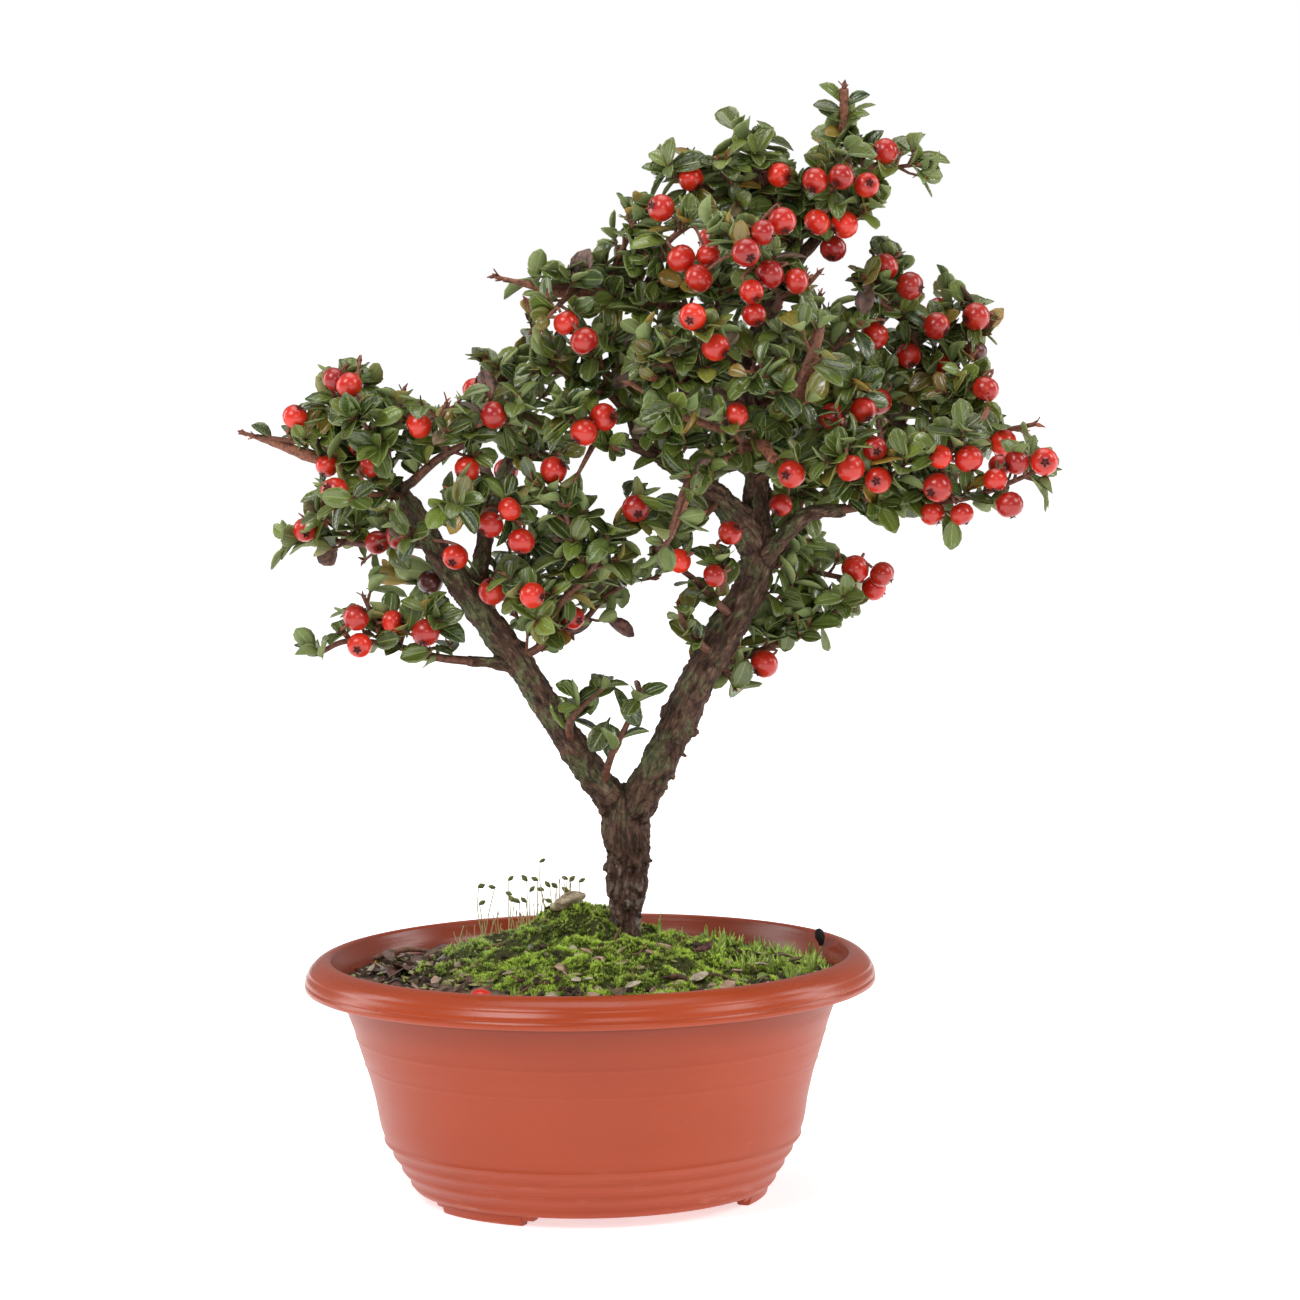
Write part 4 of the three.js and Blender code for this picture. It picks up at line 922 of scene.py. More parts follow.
sprays = {                                    # twigs of each spray; the first leaves the wood
    "left_tip": [
        [(-73, -5, 267), (-91, -8, 278), (-105, -10, 280), (-117, -12, 282)],
        [(-85, -7, 275), (-88, -12, 287), (-85, -14, 295), (-84, -14, 303)],
    ],
    "left_crown": [
        [(-70, -5, 265), (-70, -14, 278), (-66, -20, 288), (-64, -22, 297)],
        [(-70, -14, 278), (-76, -24, 284), (-80, -31, 290)],
    ],
    "left_front": [
        [(-65, -5, 259), (-71, -17, 260), (-79, -24, 261), (-87, -28, 258)],
    ],
    "left_middle": [
        [(-62, 5, 241), (-75, 12, 240), (-88, 18, 241), (-97, 20, 241), (-108, 22, 243)],
        [(-84, 16, 241), (-91, 12, 248), (-97, 8, 253)],
    ],
    "left_low": [
        [(-41, -12, 199), (-54, -15, 201), (-70, -19, 206), (-86, -22, 208), (-96, -24, 204),
         (-98, -24, 206)],
        [(-58, -16, 202), (-60, -22, 210), (-54, -27, 217)],
        [(-70, -19, 206), (-76, -17, 216), (-80, -15, 224)],
    ],
    "left_under": [
        [(-48, -6, 234), (-55, 14, 229), (-64, 26, 225), (-75, 33, 227)],
    ],
    "left_cross": [
        [(-62, -12, 264), (-52, -22, 273), (-43, -26, 278), (-32, -29, 284), (-20, -30, 291)],
        [(-48, -24, 276), (-50, -30, 286), (-48, -33, 294)],
    ],
    "left_inner": [
        [(-23, 24, 279), (-16, 27, 298), (-15, 26, 308), (-16, 23, 316), (-17, 22, 323)],
        [(-17, 27, 293), (-25, 22, 299), (-31, 19, 301), (-34, 18, 305)],
        [(-26, 21, 270), (-20, 14, 270), (-13, 10, 275)],
    ],
    "left_core": [
        [(-35, 8, 247), (-39, -14, 253), (-43, -27, 259), (-49, -37, 257)],
        [(-39, -15, 253), (-31, -26, 256), (-24, -33, 251)],
        [(-38, -7, 222), (-30, 0, 231), (-22, 4, 236), (-13, 4, 237)],
        [(-51, -7, 240), (-60, -12, 246), (-66, -14, 250)],
    ],
    "left_rear": [
        [(-40, 45, 272), (-48, 58, 281), (-57, 65, 286)],
        [(-45, 53, 278), (-38, 61, 287), (-32, 65, 295)],
    ],
    "inner_right": [
        [(-25, -6, 199), (-16, -9, 204), (-12, -16, 214), (-7, -20, 222), (0, -24, 229), (6, -26, 237),
         (15, -26, 247), (19, -26, 257)],
        [(-15, -11, 207), (-6, -6, 209), (1, 2, 213), (8, 9, 220), (18, 16, 227)],
        [(1, -24, 230), (-2, -31, 243), (-6, -35, 253), (-10, -38, 263)],
        [(-12, -16, 214), (-17, -24, 219), (-20, -31, 226)],
        [(-16, -9, 204), (-20, 0, 214), (-24, 6, 224)],
    ],
    "fork_right": [
        [(5, 2, 149), (9, -9, 163), (15, -11, 175), (20, -12, 187)],
    ],
    "fork_left": [
        [(-5, 0, 165), (-6, -10, 175), (-1, -12, 182), (7, -13, 189)],
    ],
    "arch_left": [
        [(12, -23, 279), (1, -32, 284), (-6, -39, 291)],
        [(6, -28, 281), (2, -36, 274), (-2, -40, 267)],
        [(36, -12, 268), (33, -20, 276), (30, -26, 283)],
    ],
    "arch_up": [
        [(18, -3, 286), (10, -2, 295), (-2, -6, 301), (-12, -10, 307)],
        [(12, -2, 293), (8, -10, 305), (7, -15, 315)],
        [(18, -3, 287), (22, -10, 294), (24, -16, 302)],
    ],
    "front_left": [
        [(46, -26, 297), (36, -42, 303), (26, -51, 311)],
        [(41, -34, 300), (43, -46, 310), (46, -54, 320)],
        [(40, -36, 301), (35, -48, 296), (31, -56, 290)],
    ],
    "upper_left": [
        [(33, 0, 327), (19, -5, 331), (5, -8, 333), (-14, -11, 335), (-27, -13, 337)],
        [(11, -7, 332), (14, -9, 343), (18, -9, 351), (22, -9, 361)],
        [(0, -9, 334), (-6, -22, 329), (-11, -32, 324)],
        [(22, -4, 330), (28, -14, 341), (33, -20, 350), (41, -25, 356)],
        [(49, 6, 314), (50, 0, 325), (52, -6, 334)],
        [(40, 2, 322), (38, -4, 329), (36, -10, 335)],
        [(25, -4, 330), (23, -10, 323), (21, -14, 317)],
    ],
    "top_left": [
        [(78, 16, 346), (70, 11, 352), (61, 8, 359), (51, 4, 366), (43, 0, 370), (33, -4, 375)],
        [(67, 10, 354), (69, 2, 364), (66, -3, 375), (65, -5, 384)],
        [(60, 8, 360), (57, -3, 368), (51, -9, 379)],
    ],
    "leader": [
        [(86, 20, 348), (95, 20, 357), (101, 19, 369), (99, 18, 380), (97, 16, 392), (98, 15, 404)],
        [(100, 19, 368), (108, 12, 372), (116, 6, 375), (124, 2, 376)],
        [(80, 19, 343), (80, 10, 356), (79, 2, 368)],
        [(92, 20, 354), (93, 4, 360), (94, -8, 366), (90, -15, 375)],
        [(93, 6, 359), (100, -7, 357), (105, -14, 361)],
    ],
    "upper_front": [
        [(71, -17, 325), (72, -27, 331), (66, -37, 337), (60, -43, 345), (55, -45, 353)],
        [(72, -26, 330), (80, -36, 333), (86, -42, 339)],
    ],
    "front_rise": [
        [(70, -29, 284), (74, -42, 292), (77, -48, 300), (81, -51, 309), (85, -51, 320)],
        [(74, -42, 292), (67, -54, 298), (61, -60, 304)],
    ],
    "front_hanging": [
        [(66, -14, 278), (61, -34, 277), (50, -43, 272), (38, -46, 265), (33, -48, 253), (29, -48, 241)],
        [(57, -38, 275), (55, -48, 281), (50, -54, 287)],
        [(63, -27, 278), (70, -37, 273), (79, -47, 270)],
        [(50, -4, 256), (44, -12, 250), (38, -16, 245)],
        [(64, 5, 262), (72, -6, 268), (76, -16, 274)],
    ],
    "front_right": [
        [(63, 9, 277), (76, -7, 281), (88, -22, 288), (99, -32, 298)],
        [(83, -16, 285), (88, -30, 281), (93, -39, 279)],
        [(66, 8, 288), (80, 6, 298), (92, 6, 308), (102, 6, 318)],
        [(84, 10, 310), (87, 8, 320), (88, 6, 330)],
        [(80, 20, 244), (80, 8, 252), (82, -2, 261)],
        [(60, 10, 300), (70, 2, 306), (78, -6, 312)],
    ],
    "rear_top": [
        [(121, 37, 287), (126, 34, 301), (123, 28, 313), (118, 24, 322), (116, 20, 331), (114, 18, 342)],
        [(125, 35, 298), (133, 36, 307), (139, 36, 317), (137, 35, 325)],
        [(139, 36, 316), (145, 31, 316), (150, 27, 314)],
        [(123, 36, 292), (132, 26, 296), (138, 19, 297), (144, 14, 296)],
        [(119, 25, 320), (111, 13, 326), (106, 7, 333)],
        [(112, 38, 272), (110, 30, 286), (110, 24, 300)],
    ],
    "rear_low": [
        [(120, 35, 278), (132, 28, 279), (145, 16, 276), (157, 8, 279), (166, 3, 281)],
        [(138, 23, 278), (141, 14, 286), (139, 8, 291)],
    ],
    "right_tip": [
        [(93, -17, 252), (103, -24, 254), (111, -28, 255), (121, -33, 257), (130, -36, 256),
         (141, -38, 258), (152, -38, 262), (164, -38, 267)],
        [(124, -34, 257), (127, -43, 265), (130, -48, 272), (135, -48, 280)],
        [(100, -22, 253), (102, -37, 260), (97, -47, 268), (92, -52, 275)],
        [(102, -36, 260), (110, -47, 266), (116, -52, 272)],
    ],
    "back_right": [
        [(100, 70, 277), (101, 80, 288), (104, 85, 297), (109, 84, 306)],
        [(101, 80, 288), (90, 88, 292), (83, 89, 301)],
        [(100, 76, 284), (111, 86, 283), (121, 87, 287)],
    ],
    "low_right": [
        [(44, -1, 194), (55, 9, 196), (63, 12, 198), (74, 14, 202), (82, 14, 205), (97, 12, 216)],
        [(50, 4, 195), (53, 7, 190), (55, 9, 186)],
    ],
    "low_right_up": [
        [(63, 5, 227), (74, 16, 231), (85, 22, 227), (92, 24, 225), (102, 24, 223)],
        [(80, 19, 229), (88, 27, 220), (95, 30, 215)],
        [(62, 4, 223), (69, 10, 218), (77, 13, 213)],
    ],
    "limb_shoot": [
        [(47, -1, 199), (41, -13, 205), (36, -18, 212), (34, -22, 220)],
    ],
    "limb_shoot_up": [
        [(55, 1, 212), (47, -12, 220), (40, -19, 228), (32, -22, 234)],
        [(47, -12, 220), (51, -20, 228), (49, -25, 236)],
    ],
    "back_top": [
        [(65, 46, 339), (62, 58, 350), (58, 64, 357), (52, 67, 364)],
        [(62, 56, 348), (71, 65, 354), (79, 67, 361)],
        [(68, 16, 322), (56, 26, 330), (48, 32, 338)],
    ],
    "back_bough": [
        [(53, 58, 282), (48, 73, 292), (42, 81, 299), (37, 85, 307)],
        [(50, 68, 289), (56, 81, 298), (60, 86, 308)],
        [(51, 64, 286), (42, 78, 284), (33, 86, 280)],
        [(64, 10, 262), (52, 24, 270), (42, 32, 278)],
        [(66, 9, 290), (80, 26, 300), (92, 32, 308)],
        [(64, 9, 270), (72, 20, 276), (82, 26, 284)],
    ],
}

bunches = [                                   # sprays whose berries the solids hold
    "left_tip", "left_crown", "left_middle", "left_core", "left_low", "left_inner", "inner_right",
    "arch_left", "upper_left", "upper_front", "top_left", "leader", "rear_top", "front_right",
    "right_tip", "low_right_up", "back_right", "back_bough", "back_top", "left_rear",
]

bark = {"voxel": 0.82, "ridge": 1.15, "lump": 0.9, "fine": 0.5, "skin": 0.1, "knobs": 0.34}
knots = [                                     # place in mm and radius of the larger knobs and pruning scars
    ((19.5, 3, 119), 2.8), ((18.5, 2, 113), 2.3), ((8, 1, 117), 1.8), ((9, -2, 128), 2.2),
    ((20, 0, 131), 2.4), ((14, -4, 108), 1.8), ((16, -5, 124), 2.0), ((9, 2, 101), 2.0),
    ((19, 6, 103), 1.6), ((22, -4, 146), 2.6), ((6, -2, 149), 2.4), ((34, -6, 163), 2.6),
    ((45, 3, 186), 2.8), ((42, -7, 194), 2.4), ((56, -3, 216), 2.6), ((-12, -6, 184), 2.0),
    ((-35, -6, 222), 2.2), ((-52, -2, 236), 2.2), ((-70, -8, 262), 2.6),
]


def makeWood():
    tubes = []
    for line, radii in boughs.values():
        path = smoothLine(line, 2)
        tubes.append((path, radiiAlong(radii, len(path)) + bark["skin"]))
    dice = random.Random(21)
    knobs = [([Vector(place), Vector(place) + Vector((0, -0.6, 0.4))], [size, size * 0.7])
             for place, size in knots]
    for path, thick in tubes:
        for i in range(2, len(path) - 2):
            if dice.random() < bark["knobs"] * thick[i] / 6:
                along = (path[i + 1] - path[i - 1]).normalized()
                out = squareTo(along, anyTurn(dice))
                size = thick[i] * dice.uniform(0.22, 0.38)
                start = path[i] + out * (thick[i] - size * 0.4)
                knobs.append(([start, start + out * size * 0.9], [size, size * 0.7]))
    mesh = tubeMesh("wood", tubes + knobs, 4)
    mesh = evaluated(mesh, "REMESH", mode="VOXEL", voxel_size=bark["voxel"] * mm, use_smooth_shade=True)
    places = (coordinates(mesh) - np.array(potAxis)) / mm
    nearest = np.full(len(places), 1e9)
    grain = np.zeros((len(places), 3))
    thick = np.zeros(len(places))
    for number, (path, radii) in enumerate(tubes):
        starts = np.array([list(point) for point in path[:-1]])
        ends = np.array([list(point) for point in path[1:]])
        travelled = 0.0
        side = Vector((0.3, -0.9, 0.2))
        for start, end, radius in zip(starts, ends, radii):
            run = end - start
            length = np.linalg.norm(run)
            along = run / length
            side = (side - Vector(along) * side.dot(Vector(along))).normalized()
            third = np.cross(along, side)
            share = np.clip((places - start) @ along / length, 0, 1)
            away = places - (start + share[:, None] * run)
            far = np.linalg.norm(away, axis=1) - radius
            closer = far < nearest
            nearest[closer] = far[closer]
            thick[closer] = radius
            lengthwise = (travelled + share * length) * 0.36  # the bark's grain is drawn out along the wood
            local = np.stack([away @ np.array(side), away @ third, lengthwise], axis=1)
            grain[closer] = local[closer] + np.array([0, 0, number * 37.0])
            travelled += length
    normals = np.empty(len(places) * 3, dtype=np.float32)
    mesh.vertices.foreach_get("normal", normals)
    normals = normals.reshape(-1, 3)
    moves = np.empty(len(places))
    for i, (along, place, radius) in enumerate(zip(grain, places, thick)):
        weight = min(1.0, radius / 6)
        ridge = 1 - 2 * abs(noise.noise(Vector(along) * 0.36))
        flake = noise.noise(Vector(along) * 0.9 + Vector((9, 2, 4)))
        lump = noise.noise(Vector(place) * 0.12)
        moves[i] = weight * (bark["ridge"] * (ridge - 0.45) + bark["lump"] * lump + bark["fine"] * 2 * flake)
    moved = coordinates(mesh) + normals * moves[:, None] * mm
    mesh.vertices.foreach_set("co", moved.astype(np.float32).ravel())
    layer = mesh.attributes.new("grain", "FLOAT_VECTOR", "POINT")
    layer.data.foreach_set("vector", (grain * mm).astype(np.float32).ravel())
    mesh.update()
    addPiece("trunk_and_boughs", mesh, [barkFinish()], ["trunk"])


# leaves and twigs

leafShape = {                                 # in lengths of the leaf; widths in its greatest width
    "thickness": 0.028,
    "rows": [(-0.14, 0.07), (0.01, 0.13), (0.18, 0.60), (0.40, 0.93), (0.64, 1.0), (0.86, 0.74),
             (0.99, 0.24)],                   # place along and width, from the stalk to the tip
    "kinds": [                                # fold, curl and cup of each pressed leaf
        (0.14, 0.10, 0.05), (0.26, 0.22, 0.02), (0.34, 0.05, 0.10), (0.20, 0.33, 0.04), (0.40, 0.15, 0.0),
        (0.08, -0.06, 0.12)],
}

foliage = {
    "spurEvery": 3.9, "spurLength": (3.5, 12), "leavesPerSpur": (3, 5), "leafLength": (10.0, 14.8),
    "leafWidth": (0.58, 0.74), "twigRadius": (1.6, 0.8), "spurRadius": (0.75, 0.5), "bareRoot": 4,
    "margin": 1.2,                            # how far a leaf may reach past the box of the solids, in mm
    "brightness": (0.34, 0.32),               # middle and spread
    "tintShares": (0.88, 0.09, 0.03), "dryShare": 0.016,  # green, yellowish and yellow leaves; dry ones
    "nextLeaf": 2.4,                          # radians round the stem from one leaf to the next
}

airySprays = {                                # few, single leaves along a thin shoot
    "fork_right": 6, "fork_left": 6, "limb_shoot": 5, "limb_shoot_up": 5, "left_under": 5,
    "front_hanging": 5.5,
}

bareRoots = {"fork_right": 16, "fork_left": 10}
bareTips = {"left_tip": 9, "upper_left": 12, "leader": 9, "rear_low": 3}

stubs = {                                     # stout reddish shoots and cut ends, with their radii in mm
    "left_tip": [([(-73, -5, 267), (-97, -8, 274), (-110, -10, 279), (-121, -12, 283)], [2.7, 2.5, 2.1, 0.6]),
                 ([(-87, -9, 271), (-91, -14, 279)], [2.3, 1.9])],
    "left_crown": [([(-78, -28, 289), (-80, -26, 300), (-79, -24, 309)], [1.1, 1.1, 0.5])],
    "upper_left": [([(33, 0, 327), (8, -8, 332), (-8, -10, 332), (-18, -12, 335), (-29, -14, 338)],
                    [2.5, 2.3, 2.1, 1.7, 0.5])],
    "arch_up": [([(-4, -6, 301), (-10, -6, 313), (-14, -7, 321), (-18, -8, 328)], [1.7, 1.5, 1.3, 1.3])],
    "left_inner": [([(-18, 26, 289), (-24, 24, 293), (-30, 20, 300), (-35, 18, 307)], [1.4, 1.3, 1.1, 1.2])],
    "leader": [([(94, 20, 357), (99, 19, 370), (98, 15, 392), (98, 13, 404)], [2.1, 2.0, 1.8, 1.6]),
               ([(104, 15, 371), (111, 12, 377), (118, 7, 381)], [1.5, 1.3, 1.2])],
    "top_left": [([(70, 9, 352), (69, 3, 365), (68, -4, 379)], [1.6, 1.5, 1.4]),
                 ([(66, 10, 356), (58, 7, 368), (51, 4, 378)], [1.4, 1.3, 1.2]),
                 ([(80, 10, 356), (82, 11, 368), (87, 10, 377)], [1.3, 1.3, 1.2])],
    "rear_top": [([(112, 15, 327), (116, 20, 333), (116, 18, 343)], [1.3, 1.2, 0.9]),
                 ([(118, 20, 330), (110, 15, 333), (106, 13, 335)], [1.3, 1.3, 1.2]),
                 ([(139, 36, 315), (146, 31, 312), (150, 28, 314), (153, 26, 318)], [1.1, 1.0, 0.9, 0.7])],
    "front_right": [([(76, -9, 281), (79, -20, 293), (83, -27, 307), (86, -30, 319)], [2.7, 2.6, 2.4, 2.3]),
                    ([(90, -20, 289), (96, -25, 294), (104, -30, 299)], [1.5, 1.4, 1.3])],
    "front_left": [([(43, -31, 299), (43, -31, 307), (43, -32, 314), (45, -36, 322)], [1.5, 1.4, 1.3, 1.2])],
    "front_hanging": [([(61, -34, 277), (65, -41, 277), (68, -47, 273)], [2.3, 2.4, 2.0]),
                      ([(61, -34, 277), (49, -29, 283), (33, -35, 289), (28, -38, 294), (18, -40, 300)],
                       [1.6, 1.4, 1.3, 1.2, 0.9]),
                      ([(61, -34, 277), (50, -43, 272), (42, -45, 266), (36, -46, 256), (32, -47, 247),
                        (28, -48, 240)], [1.7, 1.5, 1.3, 1.2, 1.0, 0.8])],
    "right_tip": [([(131, -36, 257), (135, -31, 268), (141, -25, 279), (147, -20, 288)],
                   [1.3, 1.1, 1.0, 0.9])],
}

singleLeaves = [                              # spray, foot in mm, direction, facing and size of single leaves
    ("left_tip", (-112, -11, 281), (-0.8, -0.1, 0.6), (0.5, -0.6, 0.6), 0.75),
    ("left_tip", (-107, -11, 280), (-0.7, 0, 0.8), (0.6, -0.6, 0.5), 0.8),
    ("left_tip", (-102, -11, 278), (0.1, -0.2, 1), (0.2, -0.9, 0.3), 0.85),
    ("left_tip", (-99, -10, 277), (-0.6, -0.1, 0.9), (0.6, -0.6, 0.5), 0.9),
    ("right_tip", (132, -44, 250), (-0.1, 0, -1), (0.2, -1, 0), 0.95),
    ("fork_right", (8, -11, 176), (-0.5, -0.3, -0.8), (0.4, -1, 0.5), 0.9),
    ("fork_right", (13, -12, 184), (0.5, -0.4, -0.6), (0.1, -1, 0.5), 0.8),
    ("fork_left", (-3, -11, 186), (-0.8, -0.3, 0.5), (0.2, -1, 0.6), 0.8),
    ("leader", (97, 14, 399), (-0.8, -0.1, 0.7), (0.7, -0.6, 0.4), 0.85),
    ("leader", (97, 14, 396), (-1, -0.1, 0.3), (0.3, -0.6, 0.8), 0.8),
    ("leader", (97, 14, 392), (-0.95, -0.2, 0.45), (0.3, -0.6, 0.8), 0.9),
    ("leader", (99, 14, 398), (0.9, -0.2, 0.5), (-0.7, -0.6, 0.4), 0.8),
    ("leader", (99, 14, 393), (0.95, -0.2, 0.35), (-0.3, -0.6, 0.8), 0.8),
    ("leader", (97, 14, 385), (-1, -0.1, 0.2), (0.2, -0.6, 0.8), 0.9),
    ("leader", (105, 14, 378), (0.55, -0.1, 0.85), (-0.7, -0.6, 0.4), 0.9),
    ("front_hanging", (36, -44, 253), (1, -0.1, -0.25), (0.1, -0.9, 0.6), 1.1),
    ("front_hanging", (34, -45, 247), (0.9, -0.2, 0.5), (-0.3, -0.9, 0.5), 0.9),
    ("front_hanging", (39, -44, 261), (0.8, -0.2, 0.7), (-0.3, -0.9, 0.5), 1.0),
    ("front_hanging", (36, -44, 256), (-0.9, -0.2, 0.5), (0.3, -0.9, 0.5), 0.9),
]

openPlaces = [                                # x, z and radius of the gaps seen from the front, in mm
    (-85, 229, 8), (27, 198, 8), (-53, 301, 9), (2, 200, 8), (111, 234, 7), (6, 364, 8), (120, 242, 6),
    (-72, 192, 7), (46, 388, 7), (78, 394, 8), (99, 239, 6), (-106, 265, 6), (-115, 271, 7), (79, 196, 6),
    (56, 178, 6), (21, 220, 6), (-6, 350, 7), (160, 292, 8), (-18, 164, 7), (117, 357, 8), (16, 267, 4),
    (96, 203, 6),
    (-8, 148, 6), (-93, 197, 6), (-35, 184, 5), (-24, 175, 5), (16, 194, 4), (-99, 233, 5), (-8, 197, 4),
    (-52, 191, 6), (-43, 303, 6), (-24, 322, 6), (17, 377, 6), (151, 242, 6), (12, 158, 5), (129, 346, 6),
    (-66, 304, 5), (98, 348, 3), (171, 281, 5), (-112, 293, 6), (158, 308, 6), (-32, 317, 6), (3, 266, 6),
    (142, 337, 6), (-93, 312, 6), (108, 210, 5), (-100, 213, 4), (-40, 192, 4), (-74, 312, 5),
    (8, 258, 4), (-107, 256, 5), (-115, 241, 4), (-60, 208, 5), (30, 223, 4), (103, 349, 4), (92, 334, 5),
    (-8, 324, 4), (118, 371, 5), (40, 350, 3), (92, 228, 3),
]


def pressLeaf(fold, curl, cup):               # a closed thin leaf of unit length, along Y, upper side up
    bm = bmesh.new()
    leafMap = bm.loops.layers.uv.new("leafMap")
    bmesh.ops.create_grid(bm, x_segments=4, y_segments=6, size=0.5)
    bm.verts.ensure_lookup_table()
    for corner in bm.verts:
        row = round((corner.co.y + 0.5) * 6)
        across = corner.co.x * 2
        along, width = leafShape["rows"][row]
        tip = 0.07 * (1 - across * across) if row in (5, 6) else 0.0
        corner.co = Vector((across * width * 0.5, along + tip * (0.5 if row == 6 else 0.8),
                            fold * abs(across) * width * 0.5 - curl * max(0, along) ** 2
                            + cup * math.sin(math.pi * max(0, along)) * across * across * 0.5))
    for face in bm.faces:
        for loop in face.loops:
            number = loop.vert.index
            loop[leafMap].uv = ((number % 5) / 4, (number // 5) / 6)
    upper = list(bm.verts) + list(bm.edges) + list(bm.faces)
    lower = bmesh.ops.duplicate(bm, geom=upper)["geom"]
    faces = [part for part in lower if isinstance(part, bmesh.types.BMFace)]
    inner = [part for part in lower if isinstance(part, bmesh.types.BMVert) and not part.is_boundary]
    bmesh.ops.reverse_faces(bm, faces=faces)
    for face in faces:
        face.material_index = 1
    bmesh.ops.translate(bm, verts=inner, vec=(0, 0, -leafShape["thickness"]))
    bmesh.ops.remove_doubles(bm, verts=bm.verts, dist=1e-5)
    mesh = plainMesh("leaf", bm)
    smoothFaces(mesh)
    return mesh


def scaleLeaf():                              # a small dry bract, folded once along its middle
    bm = bmesh.new()
    bm.loops.layers.uv.new("leafMap")
    bmesh.ops.create_grid(bm, x_segments=2, y_segments=2, size=0.5)
    for corner in bm.verts:
        row = round((corner.co.y + 0.5) * 2)
        across = corner.co.x * 2
        width, along = ((0.14, 0), (0.22, 0.5), (0.02, 1))[row]
        corner.co = Vector((across * width, along, abs(across) * 0.1 - 0.12 * row * row / 4))
    for face in bm.faces:
        face.material_index = 3
    return plainMesh("bract", bm)


berryPlaces = []                              # filled in before the leaves grow, in mm


def clearOfBerries(middle):
    for centre, radius, front in berryPlaces:
        away = middle - centre
        if away.length < radius + 1.2:
            return False
        if front and -24 < away.y < 0 and math.hypot(away.x, away.z) < radius * 0.12:
            return False
    return True


bareWood = [                                  # x, z and radius where the boughs show through, in mm
    (-20, 192, 7), (-28, 204, 7), (-36, 216, 5), (-52, 240, 4), (-60, 253, 5), (-32, 236, 5), (-34, 250, 4),
    (-55, 266, 4), (-46, 273, 4), (48, 255, 5), (56, 246, 5), (62, 234, 6), (57, 218, 5), (72, 243, 4),
    (82, 247, 5), (94, 250, 4), (86, 343, 4), (62, 305, 3), (66, 292, 3), (8, 262, 4), (28, 268, 3),
    (52, 206, 6), (80, 294, 3), (83, 305, 4), (86, 316, 4), (98, 400, 2), (98, 390, 2), (-110, 279, 3),
    (-100, 275, 3),
]


def inTheOpen(place, spare=0.0):              # whether a place would close a gap seen from the front
    scale = viewer["distance"] / (viewer["distance"] + place.y)
    x, z = place.x * scale, viewer["height"] + (place.z - viewer["height"]) * scale
    gaps = openPlaces + (bareWood if place.y < 2 else [])
    return any(math.hypot(x - gapX, z - gapZ) < radius + spare for gapX, gapZ, radius in gaps)


def insideBox(places):
    low = np.array(cadBox[0]) - foliage["margin"] * mm
    high = np.array(cadBox[1]) + foliage["margin"] * mm
    return (places > low).all() and (places < high).all()


